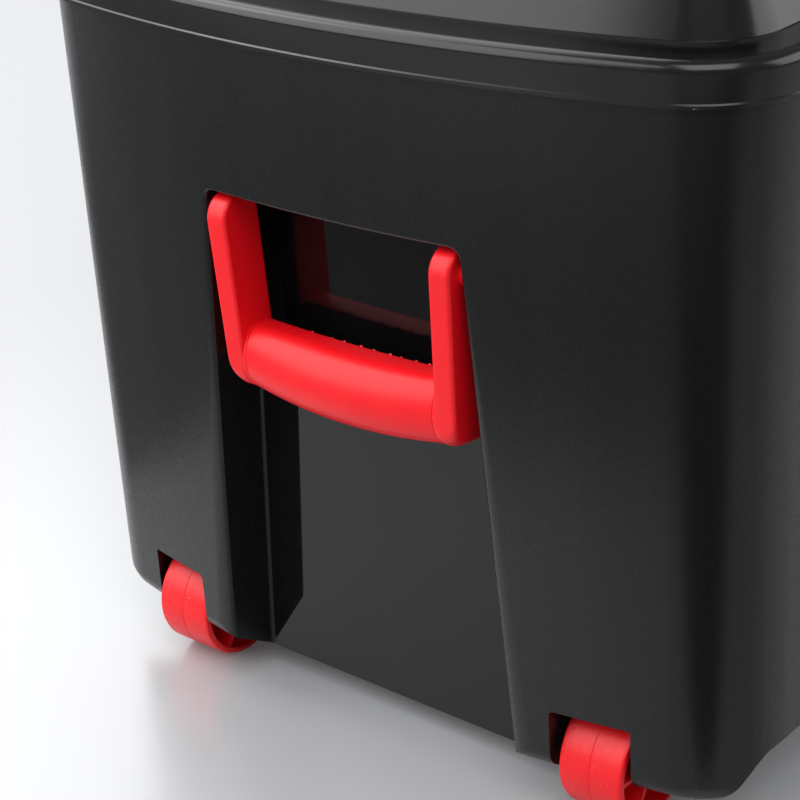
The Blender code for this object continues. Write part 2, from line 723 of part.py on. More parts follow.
def make_lid(material):
    bm = bmesh.new()
    add_loft(bm, lid_shell(0))
    lid = make_object("lid", bm, material, (0, HINGE_Y, HINGE_Z))
    bm = bmesh.new()
    add_loft(bm, lid_shell(LID_WALL))
    underside = make_object("lid underside", bm)
    combine(lid, underside, "DIFFERENCE")

    guide_top = LEDGE_HEIGHT - LID_WALL + SEAT
    guide_outer = WALL + GUIDE_GAP
    guide_foot = guide_top - SEAT - GUIDE_DROP
    bm = bmesh.new()
    add_loft(bm, [plan_ring(guide_outer, guide_foot), plan_ring(guide_outer, guide_top)])
    guide = make_object("lid guide", bm)
    bm = bmesh.new()
    inner = guide_outer + GUIDE_WALL
    add_loft(bm, [plan_ring(inner, guide_foot - OVERRUN), plan_ring(inner, guide_top + OVERRUN)])
    combine(guide, make_object("guide middle", bm), "DIFFERENCE")
    bm = bmesh.new()
    open_from = TUB_HALF_WIDTH - 2 * CORNER_RADIUS
    box = rectangle(open_from, guide_foot - OVERRUN, TUB_HALF_WIDTH + OVERRUN, guide_top + OVERRUN)
    add_bar(bm, box, -LID_LENGTH, LID_LENGTH, along_x)
    combine(guide, make_object("guide hinge side", bm), "DIFFERENCE")
    combine(lid, guide, "UNION")

    flat = LEDGE_HEIGHT + STEP_RISE + DOME_RISE - LID_WALL
    rib_top = flat + LID_WALL / 2
    rib_foot = flat - LID_RIB_DROP
    foot = LEDGE_INSET + LID_WALL + STEP_LEDGE + DOME_LEAN
    half_length = TUB_HALF_LENGTH - foot
    half_width = TUB_HALF_WIDTH - foot
    bm = bmesh.new()
    for i in range(LID_RIB_COUNT):
        x = half_length * (2 * (i + 1) / (LID_RIB_COUNT + 1) - 1)
        box = rectangle(-half_width, rib_foot, half_width, rib_top)
        add_bar(bm, box, x - LID_RIB_WALL / 2, x + LID_RIB_WALL / 2, along_x)
    cross_ribs = make_object("lid cross ribs", bm)
    bm = bmesh.new()
    end_at = half_length - CORNER_RADIUS / 2
    for y in (-LID_LONG_RIB_PLACE, LID_LONG_RIB_PLACE):
        box = rectangle(y - LID_RIB_WALL / 2, rib_foot + SEAT, y + LID_RIB_WALL / 2, rib_top + SIDE_GAP)
        add_bar(bm, box, -end_at, end_at, along_x)
    combine(cross_ribs, make_object("lid long ribs", bm), "UNION")
    combine(lid, cross_ribs, "UNION")

    bm = bmesh.new()
    half = KNUCKLE_WIDTH / 2
    for place in (-HINGE_PLACE, HINGE_PLACE):
        add_bar(bm, knuckle_outline(), place - half, place + half, along_x)
    combine(lid, make_object("knuckles", bm), "UNION")
    bm = bmesh.new()
    half += OVERRUN
    for place in (-HINGE_PLACE, HINGE_PLACE):
        add_cylinder(bm, place - half, place + half, HINGE_PIN_RADIUS + FIT_GAP, HINGE_Y, HINGE_Z, along_x)
    combine(lid, make_object("knuckle bores", bm), "DIFFERENCE")
    return lid


def make_pin(name, material, start, end, radius, chamfer, axis_a, axis_b, place, origin):
    """A plain steel pin with chamfered ends."""
    rings = []
    for along, ring_radius in (
        (start, radius - chamfer),
        (start + chamfer, radius),
        (end - chamfer, radius),
        (end, radius - chamfer),
    ):
        points = arc(axis_a, axis_b, ring_radius, 0, 360 - 360 / PIN_STEPS, PIN_STEPS - 1)
        rings.append([place(along, a, b) for a, b in points])
    bm = bmesh.new()
    add_loft(bm, rings)
    return make_object(name, bm, material, origin)


def wheel_profile():
    """Half a wheel's section as (along the axle, radius), hub to tread, one side to the other."""
    half = WHEEL_WIDTH / 2
    bore = AXLE_RADIUS + FIT_GAP
    hub = bore + HUB_WALL
    rim = WHEEL_RADIUS - WHEEL_RIM
    web = half - WHEEL_DISH
    round_off = WHEEL_SHOULDER
    side = [
        (half, bore),
        (half, hub),
        (web, hub + WHEEL_LINE),
        (web, rim - WHEEL_LINE),
        (half, rim),
        (half, WHEEL_RADIUS - round_off),
        (half - round_off / 3, WHEEL_RADIUS - round_off / 3),
        (half - round_off, WHEEL_RADIUS),
    ]
    tread = [(WHEEL_LINE, WHEEL_RADIUS), (0, WHEEL_RADIUS - WHEEL_LINE / 2)]
    return side + tread + [(-a, r) for a, r in reversed(side + tread[:1])]


def make_wheel(name, material, mirror):
    centre = at_end(-1, mirror * WHEEL_PLACE, WHEEL_DEPTH, WHEEL_RADIUS)
    profile = wheel_profile()
    bm = bmesh.new()
    rows = []
    for i in range(WHEEL_STEPS):
        angle = 2 * math.pi * i / WHEEL_STEPS
        turned = [Vector((r * math.cos(angle), a, r * math.sin(angle))) + centre for a, r in profile]
        rows.append([bm.verts.new(point) for point in turned])
    for i, row in enumerate(rows):
        other = rows[(i + 1) % WHEEL_STEPS]
        for j, point in enumerate(row):
            k = (j + 1) % len(row)
            bm.faces.new((point, row[k], other[k], other[j]))
    wheel = make_object(name, bm, material, centre)

    bm = bmesh.new()
    inner = AXLE_RADIUS + FIT_GAP + HUB_WALL / 2
    outer = WHEEL_RADIUS - WHEEL_RIM / 2
    web = WHEEL_WIDTH / 2 - WHEEL_DISH
    face = WHEEL_WIDTH / 2 - WHEEL_SPOKE_SET_BACK
    for i in range(WHEEL_SPOKES):
        turn = Matrix.Rotation(2 * math.pi * i / WHEEL_SPOKES, 3, "Y")
        box = rectangle(inner, -WHEEL_SPOKE_WALL / 2, outer, WHEEL_SPOKE_WALL / 2)
        for sign in (-1, 1):
            add_bar(
                bm,
                box,
                sign * (web - SEAT),
                sign * face,
                lambda along, a, b: centre + turn @ Vector((a, along, b)),
            )
    combine(wheel, make_object(name + " spokes", bm), "UNION")
    return wheel


def grip_section(share, shrink):
    """The grip's section as (depth, height) from the pivot; share is 0 at an end, 1 mid grip."""
    back = GRIP_CENTRE_DEPTH + GRIP_BACK
    front = GRIP_CENTRE_DEPTH - GRIP_HALF_DEPTH - GRIP_FRONT_SWELL * share
    top = GRIP_HALF_HEIGHT - GRIP_CENTRE_DROP - GRIP_TOP_SAG * share
    bottom = -GRIP_HALF_HEIGHT - GRIP_CENTRE_DROP - GRIP_UNDER_SWELL * share
    half_depth = GRIP_CENTRE_DEPTH - front - shrink
    half_height = (top - bottom) / 2 - shrink
    middle = (top + bottom) / 2
    points = []
    for i in range(GRIP_STEPS + 1):
        angle = math.pi / 2 + math.pi * i / GRIP_STEPS
        points.append((GRIP_CENTRE_DEPTH + half_depth * math.cos(angle), middle + half_height * math.sin(angle)))
    if shrink:
        far = back + OVERRUN
        return points + [(far, middle - half_height), (far, middle + half_height)]
    corner = GRIP_BACK_CORNER
    points += arc(back - corner, middle - half_height + corner, corner, -90, 0, 2)
    points += arc(back - corner, middle + half_height - corner, corner, 0, 90, 2)
    return points


def grip_share(across):
    return 1 - (2 * across / GRIP_LENGTH) ** 2


def handle_place(side, mirror=1):
    """A place function for handle shapes drawn as (across, depth, height) from the pivot."""
    return lambda across, depth, height: at_end(
        side, mirror * across, ARM_PIVOT_DEPTH + depth, ARM_PIVOT_HEIGHT + height
    )


def make_grip(name, material, side, pivot):
    place = handle_place(side)
    half = GRIP_LENGTH / 2
    bm = bmesh.new()
    rings = []
    for i in range(GRIP_STEPS + 1):
        across = half * (2 * i / GRIP_STEPS - 1)
        rings.append([place(across, a, b) for a, b in grip_section(grip_share(across), 0)])
    add_loft(bm, rings)
    grip = make_object(name, bm, material, pivot.location, pivot)
    bm = bmesh.new()
    bays = GRIP_RIBS + 1
    for i in range(bays):
        low = half * (2 * i / bays - 1) + GRIP_RIB_WALL / 2
        high = half * (2 * (i + 1) / bays - 1) - GRIP_RIB_WALL / 2
        low = low if i else -half - OVERRUN
        high = high if i < bays - 1 else half + OVERRUN
        rings = []
        for across in (low, (low + high) / 2, high):
            within = max(-half, min(half, across))
            rings.append([place(across, a, b) for a, b in grip_section(grip_share(within), GRIP_WALL)])
        add_loft(bm, rings)
    combine(grip, make_object(name + " core", bm), "DIFFERENCE")
    return grip


def arm_outline(shrink, lift):
    """An arm seen from the side, from its pivot: a round head, a straight shank, a bent toe."""
    head = ARM_RADIUS - shrink
    drop = ARM_DROP - shrink - lift
    points = arc(0, 0, head, 180, 0, ARM_STEPS)
    points += [(head * a, drop * b) for a, b in FOOT_OUTLINE_SHARES[1:]]
    (a0, b0), (a1, b1), (a2, b2) = TOE_CURVE_SHARES
    for i in range(1, TOE_STEPS + 1):
        t = i / TOE_STEPS
        a = a0 * (1 - t) ** 2 + 2 * a1 * t * (1 - t) + a2 * t * t
        b = b0 * (1 - t) ** 2 + 2 * b1 * t * (1 - t) + b2 * t * t
        points.append((head * a, drop * b))
    return points


def arm_slices():
    """Places across an arm, with how far its outline shrinks and its foot lifts at each."""
    slices = []
    for i in range(EDGE_STEPS + 1):
        angle = math.pi / 2 * i / EDGE_STEPS
        slices.append((ARM_INNER + ARM_EDGE * (1 - math.cos(angle)), ARM_EDGE * (1 - math.sin(angle))))
    start = ARM_OUTER - ARM_FOOT_ROUND
    for i in range(TOE_STEPS):
        slices.append((start + (ARM_FOOT_ROUND - ARM_EDGE) * i / TOE_STEPS, 0))
    for i in range(EDGE_STEPS + 1):
        angle = math.pi / 2 * (1 - i / EDGE_STEPS)
        slices.append((ARM_OUTER - ARM_EDGE * (1 - math.cos(angle)), ARM_EDGE * (1 - math.sin(angle))))
    lifted = []
    for across, shrink in slices:
        past = max(across - start, 0)
        lifted.append((across, shrink, ARM_FOOT_ROUND - math.sqrt(max(ARM_FOOT_ROUND**2 - past**2, 0))))
    return lifted


def make_arm(name, material, side, mirror, pivot):
    place = handle_place(side, mirror)
    def leaning(across, depth, height):
        return place(across + min(height, 0) * math.tan(ARM_LEAN), depth, height)

    bm = bmesh.new()
    rings = []
    for across, shrink, lift in arm_slices():
        rings.append([leaning(across, a, b) for a, b in arm_outline(shrink, lift)])
    add_loft(bm, rings)
    arm = make_object(name, bm, material, pivot.location, pivot)

    bm = bmesh.new()
    add_cylinder(bm, ARM_OUTER - SEAT, COLLAR_FACE, PIVOT_COLLAR, 0, 0, place)
    collar = make_object(name + " collar", bm)
    bm = bmesh.new()
    add_cylinder(bm, ARM_OUTER - 2 * SEAT, PIVOT_TIP, PIVOT_RADIUS, 0, 0, place)
    combine(collar, make_object(name + " stub", bm), "UNION")
    combine(arm, collar, "UNION")

    seam = GRIP_LENGTH / 2 + FIT_GAP
    root = GRIP_LENGTH / 2 + GRIP_NECK + 2 * ARM_EDGE
    bm = bmesh.new()
    add_bar(bm, grip_section(0, 0), seam, root, place)
    neck = make_object(name + " neck", bm)
    bm = bmesh.new()
    tip = GRIP_LENGTH / 2 - SPIGOT_LENGTH
    rings = []
    back = GRIP_CENTRE_DEPTH + GRIP_BACK - SEAT
    for across in (tip, seam + SEAT):
        within = min(across, GRIP_LENGTH / 2)
        section = grip_section(grip_share(within), GRIP_WALL + FIT_GAP)
        rings.append([place(across, min(a, back), b) for a, b in section])
    add_loft(bm, rings)
    combine(neck, make_object(name + " spigot", bm), "UNION")
    combine(arm, neck, "UNION")
    return arm


def latch_outline():
    """A latch closed, seen along its pin: barrel, plate, hook over the lid and finger tab."""
    rise = LEDGE_HEIGHT + LATCH_HOOK_GAP - LATCH_Z
    face = -LATCH_BARREL
    top = rise + LATCH_HOOK_WALL
    points = arc(0, 0, LATCH_BARREL, 180, 370, ROUND_STEPS // 2)
    points.append((face + LATCH_PLATE, LATCH_BARREL))
    points.append((face + LATCH_PLATE, rise))
    points.append((face + LATCH_HOOK_REACH - LATCH_HOOK_WALL / 2, rise))
    points.append((face + LATCH_HOOK_REACH, rise + LATCH_HOOK_WALL / 3))
    points.append((face + LATCH_HOOK_REACH, top))
    points.append((face + LATCH_PLATE, top))
    points.append((face + LATCH_PLATE / 2, top + LATCH_TAB))
    points.append((face, top + LATCH_TAB))
    return points


def make_latch(name, material, place):
    bm = bmesh.new()
    half = LATCH_WIDTH / 2
    add_bar(bm, latch_outline(), -half, half, along_x)
    latch = make_object(name, bm, material)
    latch.location = (place, LATCH_Y, LATCH_Z)
    latch.rotation_euler = (LATCH_REST, 0, 0)
    bevel = latch.modifiers.new("soft edges", "BEVEL")
    bevel.width = LATCH_CORNER
    bevel.segments = 1
    bevel.limit_method = "ANGLE"
    bevel.angle_limit = math.radians(50)
    bm = bmesh.new()
    add_cylinder(bm, -half - OVERRUN, half + OVERRUN, LATCH_PIN_RADIUS + FIT_GAP, 0, 0, along_x)
    bore = make_object(name + " bore", bm)
    bore.parent = latch
    combine(latch, bore, "DIFFERENCE")
    return latch


def build():
    clear_scene()
    black = make_material("tub black", (0.036, 0.036, 0.037), 0.42)
    lid_black = make_material("lid black", (0.034, 0.034, 0.035), 0.3)
    red = make_material("handle red", (0.83, 0.022, 0.03), 0.36)
    wheel_red = make_material("wheel red", (0.8, 0.02, 0.027), 0.4)
    latch_red = make_material("latch red", (0.81, 0.021, 0.028), 0.36)
    steel = make_material("pin steel", (0.56, 0.56, 0.57), 0.32, 1.0)

    make_tub(black)
    make_lid(lid_black)

    for mirror, name in ((1, "left"), (-1, "right")):
        make_wheel("wheel_" + name, wheel_red, -mirror)
        centre = at_end(-1, -mirror * WHEEL_PLACE, WHEEL_DEPTH, WHEEL_RADIUS)
        make_pin(
            "axle_" + name,
            steel,
            WHEEL_PLACE - AXLE_HALF_LENGTH,
            WHEEL_PLACE + AXLE_HALF_LENGTH,
            AXLE_RADIUS,
            AXLE_CHAMFER,
            WHEEL_DEPTH,
            WHEEL_RADIUS,
            across_end(-1, -mirror),
            centre,
        )

    for side, end in ((-1, "front"), (1, "rear")):
        pivot = make_empty(end + "_handle_pivot", at_end(side, 0, ARM_PIVOT_DEPTH, ARM_PIVOT_HEIGHT))
        for mirror, hand in ((-1, "left"), (1, "right")):
            make_arm(end + "_handle_arm_" + hand, red, side, mirror, pivot)
        make_grip(end + "_handle_grip", red, side, pivot)

    half = KNUCKLE_WIDTH / 2 + SIDE_GAP + EAR_WIDTH
    latch_half = LATCH_WIDTH / 2 + SIDE_GAP + LATCH_EAR_WIDTH
    for sign, hand in ((-1, "left"), (1, "right")):
        place = sign * HINGE_PLACE
        make_pin(
            "hinge_pin_" + hand,
            steel,
            place - half,
            place + half,
            HINGE_PIN_RADIUS,
            AXLE_CHAMFER,
            HINGE_Y,
            HINGE_Z,
            along_x,
            (place, HINGE_Y, HINGE_Z),
        )
        place = sign * LATCH_PLACE
        make_latch("latch_" + hand, latch_red, place)
        make_pin(
            "latch_pin_" + hand,
            steel,
            place - latch_half,
            place + latch_half,
            LATCH_PIN_RADIUS,
            AXLE_CHAMFER,
            LATCH_Y,
            LATCH_Z,
            along_x,
            (place, LATCH_Y, LATCH_Z),
        )


build()
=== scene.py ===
import json
import math
import random

import bmesh
import bpy
from mathutils import Matrix, Vector

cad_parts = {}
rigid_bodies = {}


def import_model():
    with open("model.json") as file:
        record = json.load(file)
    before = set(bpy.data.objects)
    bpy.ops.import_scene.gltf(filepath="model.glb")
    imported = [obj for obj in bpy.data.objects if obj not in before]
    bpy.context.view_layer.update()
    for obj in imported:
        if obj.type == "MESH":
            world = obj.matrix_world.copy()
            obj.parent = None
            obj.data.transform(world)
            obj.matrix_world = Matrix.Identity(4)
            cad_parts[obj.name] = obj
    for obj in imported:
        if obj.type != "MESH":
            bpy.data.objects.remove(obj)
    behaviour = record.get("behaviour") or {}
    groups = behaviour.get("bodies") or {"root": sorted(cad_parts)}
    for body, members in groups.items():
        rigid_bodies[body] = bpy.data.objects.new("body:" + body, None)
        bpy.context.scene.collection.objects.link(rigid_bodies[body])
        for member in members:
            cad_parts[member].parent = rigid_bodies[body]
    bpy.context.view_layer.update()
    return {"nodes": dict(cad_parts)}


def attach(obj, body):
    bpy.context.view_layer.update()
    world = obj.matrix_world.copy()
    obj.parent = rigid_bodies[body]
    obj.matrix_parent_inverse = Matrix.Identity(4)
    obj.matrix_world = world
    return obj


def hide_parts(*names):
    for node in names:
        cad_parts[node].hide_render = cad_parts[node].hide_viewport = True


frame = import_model()


def in_millimetres(point):
    return tuple(round(value * 1000, 1) for value in point)


# %% [markdown]
# The camera
#
# The photograph is a close view of the wheeled end, taken from a little above with a long lens.
# The view could be set by eye. Here its place, direction and lens were worked out from the edges
# of the bin instead, because straight moulded edges show every small error of perspective.
# %% Place the camera
CAMERA_TURN = math.radians(41.244)
CAMERA_TILT = math.radians(24.876)
CAMERA_ROLL = math.radians(-3.46)
CAMERA_PLACE = Vector((-1.03048, -0.59490, 0.58553))
CAMERA_LENS = 98.27
SENSOR_WIDTH = 36


def aim(place, turn, tilt, roll):
    """A camera matrix from the heading, the downward tilt and the roll about the line of sight."""
    ahead = Vector((math.cos(turn) * math.cos(tilt), math.sin(turn) * math.cos(tilt), -math.sin(tilt)))
    level = Vector((math.sin(turn), -math.cos(turn), 0))
    above = level.cross(ahead)
    right = level * math.cos(roll) + above * math.sin(roll)
    up = above * math.cos(roll) - level * math.sin(roll)
    matrix = Matrix((right, up, -ahead)).transposed().to_4x4()
    matrix.translation = place
    return matrix


scene = bpy.context.scene
camera_data = bpy.data.cameras.new("studio camera")
camera_data.sensor_width = SENSOR_WIDTH
camera_data.lens = CAMERA_LENS
camera = bpy.data.objects.new("studio camera", camera_data)
camera.matrix_world = aim(CAMERA_PLACE, CAMERA_TURN, CAMERA_TILT, CAMERA_ROLL)
scene.collection.objects.link(camera)
scene.camera = camera
print("lens", CAMERA_LENS, "mm, camera at", in_millimetres(CAMERA_PLACE))

# %% [markdown]
# Drawing with rings
#
# A moulded shell could be sculpted or pushed about with subdivision. Rings are used here: each one
# is a true outline at one height, so the draft, the bow of the ends and the corner radius stay
# exact, and a smooth skin follows from joining them.
# %% Join rings into a body


def add_loft(bm, rings):
    """A closed body through rings of equal count, with a flat cap at each end."""
    rows = [[bm.verts.new(point) for point in ring] for ring in rings]
    for lower, upper in zip(rows, rows[1:]):
        for i, corner in enumerate(lower):
            j = (i + 1) % len(lower)
            bm.faces.new((corner, lower[j], upper[j], upper[i]))
    bm.faces.new(rows[0])
    bm.faces.new(rows[-1])


def skin(name, bm):
    """An object from a bmesh drawn in world places."""
    bmesh.ops.recalc_face_normals(bm, faces=bm.faces)
    mesh = bpy.data.meshes.new(name)
    bm.to_mesh(mesh)
    bm.free()
    obj = bpy.data.objects.new(name, mesh)
    scene.collection.objects.link(obj)
    return obj


def draw(name, add, *cases):
    """One object from a drawing function, called once for each case."""
    bm = bmesh.new()
    for case in cases:
        add(bm, *case)
    obj = skin(name, bm)
    print(name, len(obj.data.polygons), "faces")
    return obj


# %% Draw flat outlines and sweep them
ROUND_STEPS = 48


def arc(centre_a, centre_b, radius, start, end, steps):
    """Points from angle start to angle end, both in degrees."""
    points = []
    for i in range(steps + 1):
        angle = math.radians(start + (end - start) * i / steps)
        points.append((centre_a + radius * math.cos(angle), centre_b + radius * math.sin(angle)))
    return points


def circle(centre_a, centre_b, radius):
    return arc(centre_a, centre_b, radius, 0, 360 - 360 / ROUND_STEPS, ROUND_STEPS - 1)


def rectangle(low_a, low_b, high_a, high_b):
    return [(low_a, low_b), (high_a, low_b), (high_a, high_b), (low_a, high_b)]


def along_x(x, y, z):
    return Vector((x, y, z))


def add_bar(bm, outline, start, end, place=along_x):
    """An outline of (a, b) points swept from start to end, placed by place(along, a, b)."""
    add_loft(bm, [[place(along, a, b) for a, b in outline] for along in (start, end)])


def add_pair(bm, outline, place, half):
    """The same bar twice, about both places along the bin's length."""
    for middle in (-place, place):
        add_bar(bm, outline, middle - half, middle + half)


print("a full circle has", len(circle(0, 0, 1)), "points")

# %% [markdown]
# Cutting and joining
#
# A mould's cavity shapes the outside of a part and its core shapes the inside. The same is done
# here with Booleans. Each cut could be made final at once, but left as a modifier it waits, so that
# the inner form can go on growing after it has been cut out of the outer one.
# %% Cut one piece by another, and settle the result
WELD = 0.000002
SMOOTH_ANGLE = math.radians(30)
NORMAL_WEIGHT = 60
helpers = []


def combine(obj, other, operation):
    """Cuts other from obj or joins it on. The helper is cleared away once the mesh is final."""
    modifier = obj.modifiers.new(operation.lower() + " " + other.name, "BOOLEAN")
    modifier.operation = operation
    modifier.solver = "EXACT"
    modifier.object = other
    helpers.append(other)


def settle(obj):
    """Makes the modifiers final, clears the helpers away and shades the curves smooth."""
    graph = bpy.context.evaluated_depsgraph_get()
    mesh = bpy.data.meshes.new_from_object(obj.evaluated_get(graph))
    mesh.name = obj.name
    obj.modifiers.clear()
    obj.data = mesh
    while helpers:
        bpy.data.objects.remove(helpers.pop(), do_unlink=True)
    bm = bmesh.new()
    bm.from_mesh(mesh)
    bmesh.ops.remove_doubles(bm, verts=bm.verts, dist=WELD)
    bm.to_mesh(mesh)
    bm.free()
    mesh.shade_smooth()
    mesh.set_sharp_from_angle(angle=SMOOTH_ANGLE)
    weighted = obj.modifiers.new("face weighted normals", "WEIGHTED_NORMAL")
    weighted.keep_sharp = True
    weighted.weight = NORMAL_WEIGHT
    print(obj.name, "is final with", len(mesh.polygons), "faces")
    return obj


print("points closer than", WELD, "m are welded")

# %% [markdown]
# The outline of the bin
#
# Seen from above, the real bin has bowed ends and round corners. A rectangle with rounded corners
# would be simpler, but the bow is what makes the light slide across the end wall. The ends follow a
# shallow parabola that runs into the corner's arc without a kink.
# %% One ring of the bin, seen from above
LID_LENGTH = 0.8
LID_WIDTH = 0.4
LID_OVERHANG = 0.0028
CORNER_RADIUS = 0.046
END_SWEEP = math.radians(12.4)
END_STEPS = 20
CORNER_STEPS = 14
TUB_HALF_LENGTH = LID_LENGTH / 2 - LID_OVERHANG
TUB_HALF_WIDTH = LID_WIDTH / 2 - LID_OVERHANG


def plan_ring(inset, height):
    """The bin seen from above, this far inside the tub's shoulder: bowed ends, round corners."""
    radius = CORNER_RADIUS - inset
    half_width = TUB_HALF_WIDTH - inset
    half_length = TUB_HALF_LENGTH - inset
    reach = half_width - radius * (1 - math.sin(END_SWEEP))
    bow = reach * math.tan(END_SWEEP) / 2
    quarter = []
    for i in range(END_STEPS + 1):
        share = i / END_STEPS
        quarter.append((reach * share, bow * share * share))
    for i in range(1, CORNER_STEPS + 1):
        angle = END_SWEEP + (math.pi / 2 - END_SWEEP) * i / CORNER_STEPS
        across = half_width - radius + radius * math.sin(angle)
        depth = bow + radius * (math.cos(END_SWEEP) - math.cos(angle))
        quarter.append((across, depth))
    ring = [(depth - half_length, across) for across, depth in quarter]
    ring += [(half_length - depth, across) for across, depth in reversed(quarter)]
    ring += [(half_length - depth, -across) for across, depth in quarter[1:]]
    ring += [(depth - half_length, -across) for across, depth in reversed(quarter[1:])]
    return [Vector((x, y, height)) for x, y in ring]


print("a ring has", len(plan_ring(0, 0)), "points")

# %% How the walls lean
SHOULDER_HEIGHT = 0.338
RECESS_TOP = 0.2682
SLOPE = math.tan(math.radians(0.45))
TOP_INSET = (SHOULDER_HEIGHT - RECESS_TOP) * SLOPE
END_FACE = TUB_HALF_LENGTH - TOP_INSET
END_REACH = TUB_HALF_WIDTH - TOP_INSET - (CORNER_RADIUS - TOP_INSET) * (1 - math.sin(END_SWEEP))
END_BOW = END_REACH * math.tan(END_SWEEP) / 2


def wall_inset(height):
    """How far the draft has drawn a wall inwards at this height."""
    return (SHOULDER_HEIGHT - height) * SLOPE


def wall_depth(across, height):
    """How far the outer face of an end wall lies inside the middle of the end."""
    return END_BOW * (across / END_REACH) ** 2 + (RECESS_TOP - height) * SLOPE


def wall_slope(across):
    """How steeply the bowed end runs back at this place across it."""
    return math.tan(END_SWEEP) * across / END_REACH


def at_end(side, across, depth, height):
    """World place of a point of one end: side is -1 at the wheels and 1 at the feet."""
    return Vector((side * (END_FACE - depth), side * across, height))


def across_end(side, mirror):
    """A place function for shapes drawn in depth and height and swept across an end."""
    return lambda across, depth, height: at_end(side, mirror * across, depth, height)


print("the end bows", round(END_BOW * 1000, 1), "mm")

# %% [markdown]
# The width of a hand sets the recess
#
# A hand closes round the grip, two arms hold the grip, and the side walls of the recess hold the
# arms. The recess could have a width of its own. It is worked out from the grip outwards instead,
# so that the handle fits between its walls with even gaps.
# %% From the grip out to the recess and the wheels
GRIP_LENGTH = 0.108
GRIP_NECK = 0.00126
GRIP_CENTRE_DROP = 0.066
ARM_RADIUS = 0.0113
ARM_THICKNESS = 0.01135
ARM_LEAN = math.radians(2)
ARM_TOP_GAP = 0.0019
ARM_SIDE_GAP = 0.0038
ARM_PIVOT_HEIGHT = RECESS_TOP - ARM_TOP_GAP - ARM_RADIUS
ARM_INNER = GRIP_LENGTH / 2 + GRIP_NECK + GRIP_CENTRE_DROP * math.tan(ARM_LEAN)
ARM_OUTER = ARM_INNER + ARM_THICKNESS
PIVOT_WALL = ARM_OUTER + ARM_SIDE_GAP
RECESS_SPREAD = 0.062
RECESS_HALF_WIDTH = PIVOT_WALL - (RECESS_TOP - ARM_PIVOT_HEIGHT) * RECESS_SPREAD
RECESS_FOOT = RECESS_HALF_WIDTH + RECESS_TOP * RECESS_SPREAD
# The wheels stand between the foot of the recess and the corner.
WHEEL_PLACE_SHARE = 0.3375
WHEEL_PLACE = RECESS_FOOT + (TUB_HALF_WIDTH - RECESS_FOOT) * WHEEL_PLACE_SHARE
print("recess", in_millimetres((2 * RECESS_HALF_WIDTH, 2 * RECESS_FOOT)), "mm wide above and below")

# %% [markdown]
# The tub
#
# The real tub is one injection moulding: a thin wall with a little draft, a tall recess in each end
# for the hand, wells for the wheels and an arch under each long side. It could be cut out of a
# block by hand. Cutting an outer form by an inner one, with the recesses taken out of the first and
# left standing in the second, keeps the wall even, as a mould's core and cavity do.
# %% The sizes of the wall and where the rim meets the lid
OVERRUN = 0.01
FLOOR_HEIGHT = 0.013
WALL = 0.003
BASE_RADIUS = 0.01
BASE_REACH = 0.0285
BASE_SLOPE = math.radians(31.4)
BASE_STEPS = 9
BASE_TURN = math.pi / 2 - BASE_SLOPE
BASE_RUN = BASE_REACH - BASE_RADIUS * (1 - math.cos(BASE_TURN))
BASE_TOP = FLOOR_HEIGHT + BASE_RUN * math.tan(BASE_SLOPE) + BASE_RADIUS * math.sin(BASE_TURN)
RIM_INSET = 0.0012
RIM_GAP = 0.0004
RIM_CHAMFER = 0.0006
LID_WALL = 0.0026
LID_LIFT = 0.0009
SKIRT_DROP = 0.018
LID_EDGE_HEIGHT = SHOULDER_HEIGHT + LID_LIFT
LEDGE_HEIGHT = LID_EDGE_HEIGHT + SKIRT_DROP
RIM_HEIGHT = LEDGE_HEIGHT - LID_WALL - RIM_GAP
print("rim", round(RIM_HEIGHT * 1000, 1), "mm above the table")


# %% Shape the outside and the inside
def tub_shell(thickness, top):
    """Rings of the tub's outside up to top, or of its inside when a thickness is given."""
    floor = FLOOR_HEIGHT + thickness
    rings = [plan_ring(BASE_REACH + thickness * math.tan(BASE_SLOPE / 2) + wall_inset(floor), floor)]
    for i in range(BASE_STEPS + 1):
        angle = BASE_TURN * (1 - i / BASE_STEPS)
        inset = BASE_RADIUS - (BASE_RADIUS - thickness) * math.cos(angle)
        height = BASE_TOP - (BASE_RADIUS - thickness) * math.sin(angle)
        rings.append(plan_ring(inset + wall_inset(height), height))
    return rings + [plan_ring(thickness + wall_inset(top), top)]


rim_rings = [
    plan_ring(RIM_INSET, SHOULDER_HEIGHT),
    plan_ring(RIM_INSET, RIM_HEIGHT - RIM_CHAMFER),
    plan_ring(RIM_INSET + RIM_CHAMFER, RIM_HEIGHT),
]
tub = draw("tub_skin", add_loft, (tub_shell(0, SHOULDER_HEIGHT) + rim_rings,))
inside = draw("inside", add_loft, (tub_shell(WALL, RIM_HEIGHT + OVERRUN),))

# %% [markdown]
# The end without wheels is out of the picture. Such bins stand there on two feet, hollow as the
# rest of the tub. Blocks joined on under the floor would look the same from outside, but a moulded
# foot is part of the wall, so the outer form grows the feet and the inner form grows into them.
# %% Stand it on two hollow feet
FOOT_LENGTH = 0.051
FOOT_WIDTH = 0.038
FOOT_SET_BACK = 0.0285
FOOT_CORNER = 0.008
FOOT_SLOPE = 0.002
FILLET_STEPS = 7


def foot_outline(shrink, slope):
    """A foot seen from below: a rectangle with round corners."""
    half_length = FOOT_LENGTH / 2 - shrink - slope
    half_width = FOOT_WIDTH / 2 - shrink - slope
    corner = FOOT_CORNER - shrink
    points = []
    for turn, (a, b) in enumerate(((1, 1), (-1, 1), (-1, -1), (1, -1))):
        centre = (a * (half_length - corner), b * (half_width - corner))
        points += arc(*centre, corner, 90 * turn, 90 * turn + 90, FILLET_STEPS)
    return points


